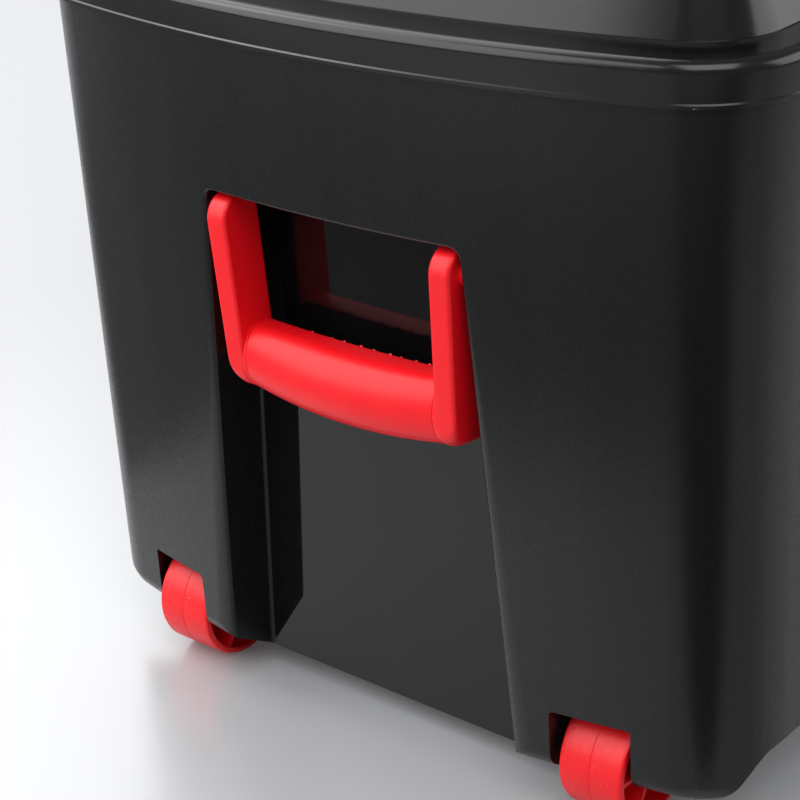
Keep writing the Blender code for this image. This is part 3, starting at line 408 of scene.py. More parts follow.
def add_foot(bm, mirror, shrink, floor):
    """One foot, in line with a wheel: drawn down from the floor, or its inside with a shrink."""
    middle = FOOT_SET_BACK + FOOT_LENGTH / 2
    rings = []
    for slope, height in ((FOOT_SLOPE, floor), (0, FLOOR_HEIGHT + OVERRUN)):
        outline = foot_outline(shrink, slope)
        rings.append([at_end(1, mirror * (WHEEL_PLACE + b), middle + a, height) for a, b in outline])
    add_loft(bm, rings)


combine(tub, draw("feet outside", add_foot, (-1, 0, 0), (1, 0, 0)), "UNION")
combine(inside, draw("feet inside", add_foot, (-1, WALL, WALL), (1, WALL, WALL)), "UNION")
combine(tub, inside, "DIFFERENCE")

# %% [markdown]
# The recess is a tall pocket with a lip that rolls into the end wall. The wall bows and leans, so
# an even fillet by a bevel would wander off it. Each point of the lip works out for itself where
# its quarter round lands on the wall. The same space, grown by the wall, is left out of the inside.
# %% Half the outline of the recess
RECESS_CORNER = 0.005


def recess_edge():
    """Half the recess's outline as (across, height, normal), from the bottom to the middle."""
    lean = math.atan(RECESS_SPREAD)
    side = Vector((math.cos(lean), math.sin(lean)))
    centre = RECESS_HALF_WIDTH - RECESS_CORNER
    corner_height = RECESS_TOP - RECESS_CORNER
    points = []
    for share in (0, 1 / 6, 1 / 2, 1):
        height = -OVERRUN + (corner_height + OVERRUN) * share
        across = RECESS_HALF_WIDTH + (corner_height - height) * RECESS_SPREAD
        points.append((across, height, side))
    for angle in (30, 60, 90):
        turn = math.radians(angle)
        normal = Vector((math.cos(turn), math.sin(turn)))
        across = centre + RECESS_CORNER * normal.x
        points.append((across, corner_height + RECESS_CORNER * normal.y, normal))
    for share in (2 / 3, 1 / 3, 0):
        points.append((centre * share, RECESS_TOP, Vector((0, 1))))
    return points


whole_edge = recess_edge()
for across, height, normal in whole_edge[-2::-1]:
    whole_edge.append((-across, height, Vector((-normal.x, normal.y))))
print("the recess has", len(whole_edge), "points round it")

# %% The rules for its back panel and its lip
RECESS_DEPTH = 0.0325
RECESS_LEAN = 0.0102
RECESS_TAPER = 0.001
RECESS_INNER_FILLET = 0.002
MOUTH_RADIUS_TOP = 0.0016
MOUTH_RADIUS_BOTTOM = 0.0085
MOUTH_DEPTH_SHARE = 0.3
LEAST_RADIUS = 0.0005


def panel_rule(grow, angle):
    """How far out and how deep a ring of the fillet round the back panel lies."""
    fillet = RECESS_INNER_FILLET + grow

    def rule(across, height, normal):
        back = RECESS_DEPTH + (RECESS_TOP - height) * RECESS_LEAN + grow
        offset = grow - RECESS_TAPER - fillet * (1 - math.cos(angle))
        return offset, back - fillet * (1 - math.sin(angle))

    return rule


def mouth_rule(grow, share, outside=False):
    """How far out and how deep a ring of the rolled lip lies, from inside to where it lands."""

    def rule(across, height, normal):
        fall = (RECESS_TOP - height) / (RECESS_TOP - FLOOR_HEIGHT)
        radius = MOUTH_RADIUS_TOP + (MOUTH_RADIUS_BOTTOM - MOUTH_RADIUS_TOP) * fall
        deep = max(radius * MOUTH_DEPTH_SHARE, MOUTH_RADIUS_TOP, grow + LEAST_RADIUS)
        wide = max(radius, deep)
        landing = abs(across) + wide * abs(normal.x)
        slope = wall_slope(landing) * abs(normal.x) - SLOPE * normal.y
        last = math.pi / 2 + math.atan(wide / deep * slope)
        reach = wide * (1 - math.cos(last))
        landing = wall_depth(abs(across) + reach * abs(normal.x), height + reach * normal.y)
        angle = last * share
        offset = wide - (wide - grow) * math.cos(angle)
        depth = landing + deep * math.sin(last) - (deep - grow) * math.sin(angle)
        return offset, -OVERRUN if outside else depth

    return rule


print("the lip's radius grows to", in_millimetres((MOUTH_RADIUS_TOP, MOUTH_RADIUS_BOTTOM)), "mm")


# %% Cut the two recesses
def add_recess(bm, side, grow):
    """The space of one recess, or with a grow the same space and the wall round it."""
    angles = [math.pi / 2 * (FILLET_STEPS - i) / FILLET_STEPS for i in range(FILLET_STEPS + 1)]
    rules = [panel_rule(grow, angle) for angle in angles]
    rules += [mouth_rule(grow, i / FILLET_STEPS) for i in range(FILLET_STEPS + 1)]
    rules.append(mouth_rule(grow, 1, outside=True))
    rings = []
    for rule in rules:
        ring = []
        for across, height, normal in whole_edge:
            offset, depth = rule(across, height, normal)
            point = Vector((across, height)) + normal * offset
            ring.append(at_end(side, point.x, depth, point.y))
        rings.append(ring)
    add_loft(bm, rings)


for side, end in ((-1, "front"), (1, "rear")):
    combine(inside, draw(end + " recess wall", add_recess, (side, WALL)), "DIFFERENCE")
    combine(tub, draw(end + " recess", add_recess, (side, 0)), "DIFFERENCE")

# %% [markdown]
# Each wheel runs in a well that opens to the end and below, and its axle snaps up into a keyhole
# from underneath. A plain hole would hold the axle too, but nobody could put it in.
# %% Cut the wheel wells
WHEEL_RADIUS = 0.028
WHEEL_WIDTH = 0.0333
WHEEL_DEPTH = 0.0394
WELL_SIDE_GAP = 0.0026
WELL_TOP_GAP = 0.0017
WELL_BACK_GAP = 0.003
WELL_CEILING_RISE = 0.002
WELL_INNER_CORNER = 0.0026
WELL_OUTER_CORNER = 0.0015
WELL_HALF_WIDTH = WHEEL_WIDTH / 2 + WELL_SIDE_GAP
WELL_TOP = 2 * WHEEL_RADIUS + WELL_TOP_GAP
WELL_DEPTH = WHEEL_DEPTH + WHEEL_RADIUS + WELL_BACK_GAP


def well_outline(grow, ceiling):
    """A wheel well seen from the end: square below, its two top corners rounded."""
    low, high = WHEEL_PLACE - WELL_HALF_WIDTH - grow, WHEEL_PLACE + WELL_HALF_WIDTH + grow
    inner, outer = WELL_INNER_CORNER + grow, WELL_OUTER_CORNER + grow
    top = ceiling + grow
    points = [(high, -OVERRUN)]
    points += arc(high - outer, top - outer, outer, 0, 90, FILLET_STEPS)
    points += arc(low + inner, top - inner, inner, 90, 180, FILLET_STEPS)
    return points + [(low, -OVERRUN)]


def add_well(bm, mirror, grow):
    rings = []
    for depth, top in ((-OVERRUN, WELL_TOP), (WELL_DEPTH + grow, WELL_TOP + WELL_CEILING_RISE)):
        rings.append([at_end(-1, mirror * a, depth, h) for a, h in well_outline(grow, top)])
    add_loft(bm, rings)


combine(inside, draw("well walls", add_well, (-1, WALL), (1, WALL)), "DIFFERENCE")
combine(tub, draw("wells", add_well, (-1, 0), (1, 0)), "DIFFERENCE")

# %% Seat the axles
FIT_GAP = 0.0003
AXLE_RADIUS = 0.004
AXLE_SEAT = 0.0048
AXLE_BOSS_WALL = 0.0035
SNAP_NARROWING = 0.0003
AXLE_HALF_LENGTH = WELL_HALF_WIDTH + AXLE_SEAT


def keyhole_outline():
    """The axle's seat and the narrower slot below it that the axle snaps through."""
    seat = AXLE_RADIUS + FIT_GAP
    half_slot = AXLE_RADIUS - SNAP_NARROWING
    start = -math.degrees(math.acos(half_slot / seat))
    points = arc(WHEEL_DEPTH, WHEEL_RADIUS, seat, start, 180 - start, ROUND_STEPS // 2)
    points.append((WHEEL_DEPTH - half_slot, -OVERRUN))
    points.append((WHEEL_DEPTH + half_slot, -OVERRUN))
    return points


def add_seat(bm, mirror, outline, half):
    """An outline swept along one axle's line, this far to each side of the wheel's middle."""
    add_bar(bm, outline, WHEEL_PLACE - half, WHEEL_PLACE + half, across_end(-1, mirror))


boss_half = AXLE_RADIUS + AXLE_BOSS_WALL
boss = rectangle(WHEEL_DEPTH - boss_half, 0, WHEEL_DEPTH + boss_half, WHEEL_RADIUS + boss_half)
reach = AXLE_HALF_LENGTH + AXLE_BOSS_WALL
combine(inside, draw("axle bosses", add_seat, (-1, boss, reach), (1, boss, reach)), "DIFFERENCE")
keyhole = keyhole_outline()
reach = AXLE_HALF_LENGTH + FIT_GAP
combine(tub, draw("axle seats", add_seat, (-1, keyhole, reach), (1, keyhole, reach)), "DIFFERENCE")

# %% [markdown]
# Under each long side the wall is arched up between the feet and rolled inwards, which stiffens it.
# The arch rises from nothing in a soft S, so its outline is drawn again at every step of the S.
# %% Arch the long sides
ARCH_HEIGHT = 0.0355
ARCH_DEPTH = 0.04
ARCH_LIP = 0.01
ARCH_START = 0.015
ARCH_RUN = 0.036
ARCH_STEPS = 18


def arch_rise(depth):
    """How high the arch stands at this depth from an end: nothing at the foot, then an S."""
    share = min(max((depth - ARCH_START) / ARCH_RUN, 0), 1)
    return ARCH_HEIGHT * share * share * (3 - 2 * share)


def arch_outline(rise, deep):
    """The arch seen from the end, as (inwards, height): a rolled lip, then a quarter ellipse."""
    lip_centre = FLOOR_HEIGHT + rise * math.sqrt(1 - (ARCH_LIP / deep) ** 2) + ARCH_LIP
    outline = [(-OVERRUN, -OVERRUN), (-OVERRUN, lip_centre)]
    for i in range(FILLET_STEPS + 1):
        angle = math.pi / 2 * (FILLET_STEPS - i) / FILLET_STEPS
        outline.append((ARCH_LIP - ARCH_LIP * math.sin(angle), lip_centre - ARCH_LIP * math.cos(angle)))
    start = math.asin(ARCH_LIP / deep)
    for i in range(1, BASE_STEPS + 2):
        angle = start + (math.pi / 2 - start) * i / (BASE_STEPS + 1)
        outline.append((deep * math.sin(angle), FLOOR_HEIGHT + rise * math.cos(angle)))
    return outline + [(deep, -OVERRUN)]


def add_arch(bm, side, grow):
    """The hollow under one long side, from foot to foot."""
    half_run = END_FACE - ARCH_START
    places = [-half_run + ARCH_RUN * (i / ARCH_STEPS) for i in range(ARCH_STEPS + 1)]
    places += [-place for place in reversed(places)]
    rings = []
    for x in places:
        rise = max(arch_rise(END_FACE - abs(x)), LEAST_RADIUS) + grow
        outline = arch_outline(rise, ARCH_DEPTH + grow)
        rings.append([Vector((x, side * (TUB_HALF_WIDTH - a), b)) for a, b in outline])
    add_loft(bm, rings)


combine(inside, draw("arch walls", add_arch, (-1, WALL), (1, WALL)), "DIFFERENCE")
combine(tub, draw("arches", add_arch, (-1, 0), (1, 0)), "DIFFERENCE")

# %% [markdown]
# The handle swings on two stubs that turn in blind holes in the recess walls. The walls are too
# thin to hold a hole, so each hole gets a boss behind the wall, which is left out of the inside
# before the hole itself is cut.
# %% Bore the pivots of the handles
SIDE_GAP = 0.0004
ARM_FRONT_SET_BACK = 0.00005
PIVOT_RADIUS = 0.0042
PIVOT_REACH = 0.008
PIVOT_COLLAR = 0.0051
PIVOT_COLLAR_GAP = 0.0003
PIVOT_BOSS_WALL = 0.003
ARM_PIVOT_DEPTH = ARM_RADIUS + ARM_FRONT_SET_BACK
COLLAR_FACE = PIVOT_WALL - PIVOT_COLLAR * RECESS_SPREAD - RECESS_TAPER - PIVOT_COLLAR_GAP
PIVOT_TIP = PIVOT_WALL + PIVOT_REACH
HOLE_END = PIVOT_TIP + SIDE_GAP


def add_pivots(bm, side, tip, radius):
    """A cylinder on each pivot of one end, from the collar's face to the tip."""
    outline = circle(ARM_PIVOT_DEPTH, ARM_PIVOT_HEIGHT, radius)
    for mirror in (-1, 1):
        add_bar(bm, outline, COLLAR_FACE, tip, across_end(side, mirror))


wide = (HOLE_END + PIVOT_BOSS_WALL, PIVOT_RADIUS + PIVOT_BOSS_WALL)
narrow = (HOLE_END, PIVOT_RADIUS + FIT_GAP)
combine(inside, draw("pivot bosses", add_pivots, (-1, *wide), (1, *wide)), "DIFFERENCE")
combine(tub, draw("pivot holes", add_pivots, (-1, *narrow), (1, *narrow)), "DIFFERENCE")

# %% [markdown]
# The photograph shows neither hinges nor latches. Here they are made as on such bins: ears carry
# the pins of the lid's hinges behind and of the latches in front. Each ear is a round head on a web
# that runs down the wall, all one moulding with the tub. A plate between the hinge ears stops the
# lid when it is open.
# %% Where the hinges and the latches turn
HINGE_PLACE = 0.23
HINGE_OUT = 0.0085
HINGE_RADIUS = 0.0065
HINGE_Y = TUB_HALF_WIDTH + LID_OVERHANG + HINGE_OUT
HINGE_Z = LID_EDGE_HEIGHT
LATCH_PLACE = 0.2
LATCH_PIVOT_DROP = 0.033
LATCH_PIVOT_OUT = 0.0052
LATCH_Z = LID_EDGE_HEIGHT - LATCH_PIVOT_DROP
LATCH_Y = -(TUB_HALF_WIDTH - wall_inset(LATCH_Z) + LATCH_PIVOT_OUT)
print("hinge line", in_millimetres((HINGE_Y, HINGE_Z)), "latch line", in_millimetres((LATCH_Y, LATCH_Z)))

# %% Grow the ears
KNUCKLE_WIDTH = 0.032
EAR_WIDTH = 0.0075
EAR_DROP = 0.028
EAR_SEAT = 0.0015
LATCH_WIDTH = 0.056
LATCH_BARREL = 0.0045
LATCH_EAR_WIDTH = 0.0045
LATCH_EAR_DROP = 0.016
# The ear's round head, in degrees about its pin, and how high its web meets the wall.
EAR_HEAD_START, EAR_HEAD_END = 195, -40
EAR_WEB_RISE = math.radians(18)


def ear_outline(out, axis_z, radius, drop, wall_place):
    """A hinge ear seen along its pin: a round head and a web that runs down the wall."""
    points = arc(out, axis_z, radius, EAR_HEAD_START, EAR_HEAD_END, ROUND_STEPS // 2)
    points.append((wall_place, axis_z - drop))
    points.append((wall_place, axis_z - radius * math.sin(EAR_WEB_RISE)))
    return points


def add_ears(bm, outline, place, half, width):
    """Four ears of one kind: a pair about each place, this far to both sides of it."""
    for middle in (-place, place):
        for mirror in (-1, 1):
            start = middle + mirror * (half + SIDE_GAP)
            add_bar(bm, outline, start, start + mirror * width)


hinge_ear = ear_outline(HINGE_Y, HINGE_Z, HINGE_RADIUS, EAR_DROP, TUB_HALF_WIDTH - EAR_SEAT)
latch_wall = TUB_HALF_WIDTH - wall_inset(LATCH_Z - LATCH_EAR_DROP) - EAR_SEAT
latch_ear = ear_outline(-LATCH_Y, LATCH_Z, LATCH_BARREL, LATCH_EAR_DROP, latch_wall)
latch_ear = [(-y, z) for y, z in latch_ear]
ears = draw(
    "ears",
    add_ears,
    (hinge_ear, HINGE_PLACE, KNUCKLE_WIDTH / 2, EAR_WIDTH),
    (latch_ear, LATCH_PLACE, LATCH_WIDTH / 2, LATCH_EAR_WIDTH),
)
combine(tub, ears, "UNION")

# %% Stop the lid, and bore the ears
SEAT = 0.001
STOP_PLATE_NEAR = 0.0045
STOP_PLATE_WALL = 0.003
STOP_PLATE_GAP = 0.0013
HINGE_PIN_RADIUS = 0.003
LATCH_PIN_RADIUS = 0.002
near, far = HINGE_Y + STOP_PLATE_NEAR, HINGE_Y + STOP_PLATE_NEAR + STOP_PLATE_WALL
low, high = HINGE_Z - EAR_DROP / 2, HINGE_Z - HINGE_RADIUS - STOP_PLATE_GAP
wall = TUB_HALF_WIDTH - EAR_SEAT
plate = [(near, high), (far, high), (near, low), (wall, low - STOP_PLATE_NEAR), (wall, low)]
plates = draw("stop plates", add_pair, (plate, HINGE_PLACE, KNUCKLE_WIDTH / 2 + SIDE_GAP + SEAT))
combine(tub, plates, "UNION")
hinge_bore = circle(HINGE_Y, HINGE_Z, HINGE_PIN_RADIUS + FIT_GAP)
latch_bore = circle(LATCH_Y, LATCH_Z, LATCH_PIN_RADIUS + FIT_GAP)
pin_holes = draw(
    "pin holes",
    add_pair,
    (hinge_bore, HINGE_PLACE, KNUCKLE_WIDTH / 2 + EAR_WIDTH + OVERRUN),
    (latch_bore, LATCH_PLACE, LATCH_WIDTH / 2 + LATCH_EAR_WIDTH + OVERRUN),
)
combine(tub, pin_holes, "DIFFERENCE")

# %% Finish the tub
settle(tub)
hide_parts("tub")
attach(tub, "tub")

# %% [markdown]
# The lid
#
# The lid is a thin shell as well. From its edge inwards it has a bead, a short skirt, a soft
# shoulder, a flat ledge all round and a panel that rises well above it. A revolved or extruded
# profile would not follow the bowed ends, so its outline is drawn again at every bend of the
# profile.
# %% Draw the lid's lower edge
BEAD_HEIGHT = 0.0015
BEAD_REACH = 0.0006


def lid_edge(thickness):
    """Rings of the lid's lower edge: a bead outside, a plain wall inside."""
    edge = -LID_OVERHANG
    skirt = edge + BEAD_REACH
    if thickness:
        return [plan_ring(skirt + thickness, LID_EDGE_HEIGHT - OVERRUN)]
    return [
        plan_ring(edge, LID_EDGE_HEIGHT),
        plan_ring(edge, LID_EDGE_HEIGHT + BEAD_HEIGHT),
        plan_ring(skirt, LID_EDGE_HEIGHT + BEAD_HEIGHT + BEAD_REACH),
    ]


print("the edge has", len(lid_edge(0)), "rings outside and", len(lid_edge(LID_WALL)), "inside")

# %% Draw the lid's shell from the edge to the crown
SKIRT_SHOULDER = 0.0045
# The finished lid rounds its shoulder more softly than its solid does.
SOFT_SHOULDER = 0.0052
LEDGE_INSET = 0.0128
STEP_RISE = 0.004
STEP_LEDGE = 0.0014
DOME_RISE = 0.033
DOME_LEAN = 0.0092
DOME_EDGE = 0.008
CROWN_RISE = 0.002
CROWN_SHARES = (0.75, 0.4)
LID_TOP = LEDGE_HEIGHT + STEP_RISE + DOME_RISE


def lid_shell(thickness):
    """Rings of the lid's outside, or of its underside when a thickness is given."""
    skirt = -LID_OVERHANG + BEAD_REACH
    ledge = LEDGE_HEIGHT - thickness
    foot = -LID_OVERHANG + LEDGE_INSET + thickness
    shoulder = SKIRT_SHOULDER - thickness if thickness else SOFT_SHOULDER
    start = foot + STEP_LEDGE + DOME_LEAN
    edge_radius = DOME_EDGE - thickness
    angles = [math.pi / 2 * i / FILLET_STEPS for i in range(FILLET_STEPS + 1)]
    rings = lid_edge(thickness)
    for angle in angles:
        inset = skirt + thickness + shoulder * (1 - math.cos(angle))
        rings.append(plan_ring(inset, ledge - shoulder * (1 - math.sin(angle))))
    rings.append(plan_ring(foot, ledge))
    rings.append(plan_ring(foot, ledge + STEP_RISE))
    rings.append(plan_ring(foot + STEP_LEDGE, ledge + STEP_RISE))
    for angle in angles:
        inset = start + edge_radius * (1 - math.cos(angle))
        rings.append(plan_ring(inset, LID_TOP - DOME_EDGE + edge_radius * math.sin(angle)))
    rim = rings[-1]
    for share in CROWN_SHARES:
        rise = CROWN_RISE * (1 - share * share)
        rings.append([Vector((spot.x * share, spot.y * share, spot.z + rise)) for spot in rim])
    return rings


lid = draw("lid_skin", add_loft, (lid_shell(0),))
combine(lid, draw("lid underside", add_loft, (lid_shell(LID_WALL),)), "DIFFERENCE")

# %% [markdown]
# Under the lid a low wall drops inside the tub's rim and centres the lid, except along the hinges,
# where it would catch. Ribs keep the panel flat. All of it is out of sight in the photograph, but
# it shows as soon as the lid swings open.
# %% Guide the lid
GUIDE_GAP = 0.0012
GUIDE_WALL = 0.0018
GUIDE_DROP = 0.0085
guide_top = LEDGE_HEIGHT - LID_WALL + SEAT
guide_foot = guide_top - SEAT - GUIDE_DROP
outer, inner = WALL + GUIDE_GAP, WALL + GUIDE_GAP + GUIDE_WALL
cut_foot, cut_top = guide_foot - OVERRUN, guide_top + OVERRUN
guide = draw("lid guide", add_loft, ([plan_ring(outer, guide_foot), plan_ring(outer, guide_top)],))
middle = draw("guide middle", add_loft, ([plan_ring(inner, cut_foot), plan_ring(inner, cut_top)],))
combine(guide, middle, "DIFFERENCE")
hinge_side = rectangle(TUB_HALF_WIDTH - 2 * CORNER_RADIUS, cut_foot, TUB_HALF_WIDTH + OVERRUN, cut_top)
opening = draw("guide hinge side", add_bar, (hinge_side, -LID_LENGTH, LID_LENGTH))
combine(guide, opening, "DIFFERENCE")
combine(lid, guide, "UNION")

# %% Stiffen the lid with ribs
LID_RIB_WALL = 0.002
LID_RIB_DROP = 0.009
LID_RIB_COUNT = 5
LID_LONG_RIB_PLACE = 0.07
flat = LID_TOP - LID_WALL
rib_top, rib_foot = flat + LID_WALL / 2, flat - LID_RIB_DROP
foot = LEDGE_INSET + LID_WALL + STEP_LEDGE + DOME_LEAN
half_length, half_width = TUB_HALF_LENGTH - foot, TUB_HALF_WIDTH - foot
across = rectangle(-half_width, rib_foot, half_width, rib_top)
cases = []
for i in range(LID_RIB_COUNT):
    x = half_length * (2 * (i + 1) / (LID_RIB_COUNT + 1) - 1)
    cases.append((across, x - LID_RIB_WALL / 2, x + LID_RIB_WALL / 2))
ribs = draw("lid cross ribs", add_bar, *cases)
cases = []
for y in (-LID_LONG_RIB_PLACE, LID_LONG_RIB_PLACE):
    left, right = y - LID_RIB_WALL / 2, y + LID_RIB_WALL / 2
    along = rectangle(left, rib_foot + SEAT, right, rib_top + SIDE_GAP)
    cases.append((along, -half_length + CORNER_RADIUS / 2, half_length - CORNER_RADIUS / 2))
combine(ribs, draw("lid long ribs", add_bar, *cases), "UNION")
combine(lid, ribs, "UNION")

# %% [markdown]
# Two knuckles hang the lid on its pins. A knuckle could be a plain tube. These also carry a small
# heel that meets the plate between the ears when the lid is open, so the outline goes round the
# pin, out to the heel and back to the skirt.
# %% Hinge the lid
KNUCKLE_WEB = 0.0115
STOP_HEEL = 0.011
STOP_HEEL_HALF = 0.002
STOP_HEEL_ANGLE = math.radians(65)
# The knuckle's round head, in degrees about its pin, from its web round to the skirt.
KNUCKLE_START, KNUCKLE_END = 104, -190


def knuckle_outline():
    """A lid knuckle seen along its pin: round, with a web to the skirt and a stop heel."""
    lean = math.degrees(STOP_HEEL_ANGLE)
    half_heel = math.degrees(math.asin(STOP_HEEL_HALF / HINGE_RADIUS))
    along = Vector((math.cos(STOP_HEEL_ANGLE), math.sin(STOP_HEEL_ANGLE))) * STOP_HEEL
    aside = Vector((math.sin(STOP_HEEL_ANGLE), -math.cos(STOP_HEEL_ANGLE))) * STOP_HEEL_HALF
    seat = TUB_HALF_WIDTH + LID_OVERHANG - BEAD_REACH - EAR_SEAT
    centre = Vector((HINGE_Y, HINGE_Z))
    points = [(seat, HINGE_Z + KNUCKLE_WEB)]
    points += arc(HINGE_Y, HINGE_Z, HINGE_RADIUS, KNUCKLE_START, lean + half_heel, 2)
    points += [tuple(centre + along - aside), tuple(centre + along + aside)]
    points += arc(HINGE_Y, HINGE_Z, HINGE_RADIUS, lean - half_heel, KNUCKLE_END, ROUND_STEPS // 2)
    points.append((seat, HINGE_Z + BEAD_HEIGHT + BEAD_REACH))
    return points


knuckles = draw("knuckles", add_pair, (knuckle_outline(), HINGE_PLACE, KNUCKLE_WIDTH / 2))
combine(lid, knuckles, "UNION")
bores = draw("knuckle bores", add_pair, (hinge_bore, HINGE_PLACE, KNUCKLE_WIDTH / 2 + OVERRUN))
combine(lid, bores, "DIFFERENCE")

# %% Finish the lid
settle(lid)
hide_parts("lid")
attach(lid, "lid")

# %% [markdown]
# The wheels
#
# Each wheel is one moulding with a hub, a thin web, a rim and six spokes on each face. The mould
# parts round the middle of the tread, which leaves a fine line there. Turning a profile about the
# axle makes it, and the spokes are joined on afterwards.
# %% Draw half a wheel's section
WHEEL_RIM = 0.0032
WHEEL_DISH = 0.0135
WHEEL_SHOULDER = 0.0018
WHEEL_LINE = 0.0006
WHEEL_STEPS = 96
HUB_WALL = 0.0035


def wheel_profile():
    """Half a wheel's section as (along the axle, radius), hub to tread, one side to the other."""
    half = WHEEL_WIDTH / 2
    bore = AXLE_RADIUS + FIT_GAP
    hub = bore + HUB_WALL
    rim = WHEEL_RADIUS - WHEEL_RIM
    web = half - WHEEL_DISH
    side = [
        (half, bore),
        (half, hub),
        (web, hub + WHEEL_LINE),
        (web, rim - WHEEL_LINE),
        (half, rim),
        (half, WHEEL_RADIUS - WHEEL_SHOULDER),
        (half - WHEEL_SHOULDER / 3, WHEEL_RADIUS - WHEEL_SHOULDER / 3),
        (half - WHEEL_SHOULDER, WHEEL_RADIUS),
    ]
    tread = [(WHEEL_LINE, WHEEL_RADIUS), (0, WHEEL_RADIUS - WHEEL_LINE / 2)]
    return side + tread + [(-a, r) for a, r in reversed(side + tread[:1])]


print("the wheel's section has", len(wheel_profile()), "points")

# %% Turn the wheels and set in their spokes
WHEEL_SPOKE_WALL = 0.0022
WHEEL_SPOKE_SET_BACK = 0.0015
WHEEL_SPOKES = 6


def add_turned(bm, profile, centre):
    """A ring-shaped body: the profile turned once about the axle."""
    rows = []
    for i in range(WHEEL_STEPS):
        angle = 2 * math.pi * i / WHEEL_STEPS
        turned = [Vector((r * math.cos(angle), a, r * math.sin(angle))) + centre for a, r in profile]
        rows.append([bm.verts.new(point) for point in turned])
    for i, row in enumerate(rows):
        other = rows[(i + 1) % WHEEL_STEPS]
        for j, point in enumerate(row):
            k = (j + 1) % len(row)
            bm.faces.new((point, row[k], other[k], other[j]))


def add_spokes(bm, centre):
    """Six spokes on each face of the web, from inside the hub to inside the rim."""
    inner = AXLE_RADIUS + FIT_GAP + HUB_WALL / 2
    outer = WHEEL_RADIUS - WHEEL_RIM / 2
    web = WHEEL_WIDTH / 2 - WHEEL_DISH
    face = WHEEL_WIDTH / 2 - WHEEL_SPOKE_SET_BACK
    box = rectangle(inner, -WHEEL_SPOKE_WALL / 2, outer, WHEEL_SPOKE_WALL / 2)
    for i in range(WHEEL_SPOKES):
        turn = Matrix.Rotation(2 * math.pi * i / WHEEL_SPOKES, 3, "Y")

        def spoke_place(along, a, b):
            return centre + turn @ Vector((a, along, b))

        for sign in (-1, 1):
            add_bar(bm, box, sign * (web - SEAT), sign * face, spoke_place)


for mirror, hand in ((-1, "left"), (1, "right")):
    centre = at_end(-1, mirror * WHEEL_PLACE, WHEEL_DEPTH, WHEEL_RADIUS)
    wheel = draw("wheel_" + hand + "_skin", add_turned, (wheel_profile(), centre))
    combine(wheel, draw(hand + " spokes", add_spokes, (centre,)), "UNION")
    settle(wheel)
    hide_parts("wheel_" + hand)
    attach(wheel, "wheel_" + hand)

# %% [markdown]
# The handles
#
# A handle is three mouldings: two arms that pivot in the recess walls and a grip that is pushed on
# between them. The grip swells towards its middle and is cored out behind, with ribs across.
# Its section changes along its length, so it is drawn as rings too.
# %% The grip's section
GRIP_CENTRE_DEPTH = 0.00115
GRIP_HALF_DEPTH = 0.01
GRIP_HALF_HEIGHT = 0.0155
GRIP_BACK = 0.0095
GRIP_BACK_CORNER = 0.003
GRIP_FRONT_SWELL = 0.0038
GRIP_UNDER_SWELL = 0.0048
GRIP_TOP_SAG = 0.0013
GRIP_STEPS = 24


def grip_share(across):
    """How far the grip has swollen at this place: 0 at its ends, 1 in its middle."""
    return 1 - (2 * across / GRIP_LENGTH) ** 2


def grip_section(share, shrink):
    """The grip's section as (depth, height) from the pivot, or its core's with a shrink."""
    back = GRIP_CENTRE_DEPTH + GRIP_BACK
    front = GRIP_CENTRE_DEPTH - GRIP_HALF_DEPTH - GRIP_FRONT_SWELL * share
    top = GRIP_HALF_HEIGHT - GRIP_CENTRE_DROP - GRIP_TOP_SAG * share
    bottom = -GRIP_HALF_HEIGHT - GRIP_CENTRE_DROP - GRIP_UNDER_SWELL * share
    half_depth = GRIP_CENTRE_DEPTH - front - shrink
    half_height = (top - bottom) / 2 - shrink
    middle = (top + bottom) / 2
    points = []
    for i in range(GRIP_STEPS + 1):
        angle = math.pi / 2 + math.pi * i / GRIP_STEPS
        depth = GRIP_CENTRE_DEPTH + half_depth * math.cos(angle)
        points.append((depth, middle + half_height * math.sin(angle)))
    if shrink:
        far = back + OVERRUN
        return points + [(far, middle - half_height), (far, middle + half_height)]
    corner = GRIP_BACK_CORNER
    points += arc(back - corner, middle - half_height + corner, corner, -90, 0, 2)
    points += arc(back - corner, middle + half_height - corner, corner, 0, 90, 2)
    return points


print("the grip's section has", len(grip_section(0, 0)), "points")

# %% Shape a grip and core it out
GRIP_WALL = 0.0026
GRIP_RIB_WALL = 0.0018
GRIP_RIBS = 5


def handle_place(side, mirror=1):
    """A place function for handle shapes drawn as (across, depth, height) from the pivot."""
    return lambda across, depth, height: at_end(
        side, mirror * across, ARM_PIVOT_DEPTH + depth, ARM_PIVOT_HEIGHT + height
    )


def add_grip(bm, side):
    place = handle_place(side)
    rings = []
    for i in range(GRIP_STEPS + 1):
        across = GRIP_LENGTH / 2 * (2 * i / GRIP_STEPS - 1)
        rings.append([place(across, a, b) for a, b in grip_section(grip_share(across), 0)])
    add_loft(bm, rings)


def add_bays(bm, side):
    """The hollows behind the grip, with a rib left standing between each two."""
    place = handle_place(side)
    half = GRIP_LENGTH / 2
    bays = GRIP_RIBS + 1
    for i in range(bays):
        low = half * (2 * i / bays - 1) + GRIP_RIB_WALL / 2 if i else -half - OVERRUN
        high = half * (2 * (i + 1) / bays - 1) - GRIP_RIB_WALL / 2 if i < bays - 1 else half + OVERRUN
        rings = []
        for across in (low, (low + high) / 2, high):
            within = max(-half, min(half, across))
            section = grip_section(grip_share(within), GRIP_WALL)
            rings.append([place(across, a, b) for a, b in section])
        add_loft(bm, rings)


def make_grip(name, side):
    grip = draw(name, add_grip, (side,))
    combine(grip, draw("grip core", add_bays, (side,)), "DIFFERENCE")
    return grip


print("a grip has", GRIP_RIBS + 1, "bays with", GRIP_RIBS, "ribs between them")

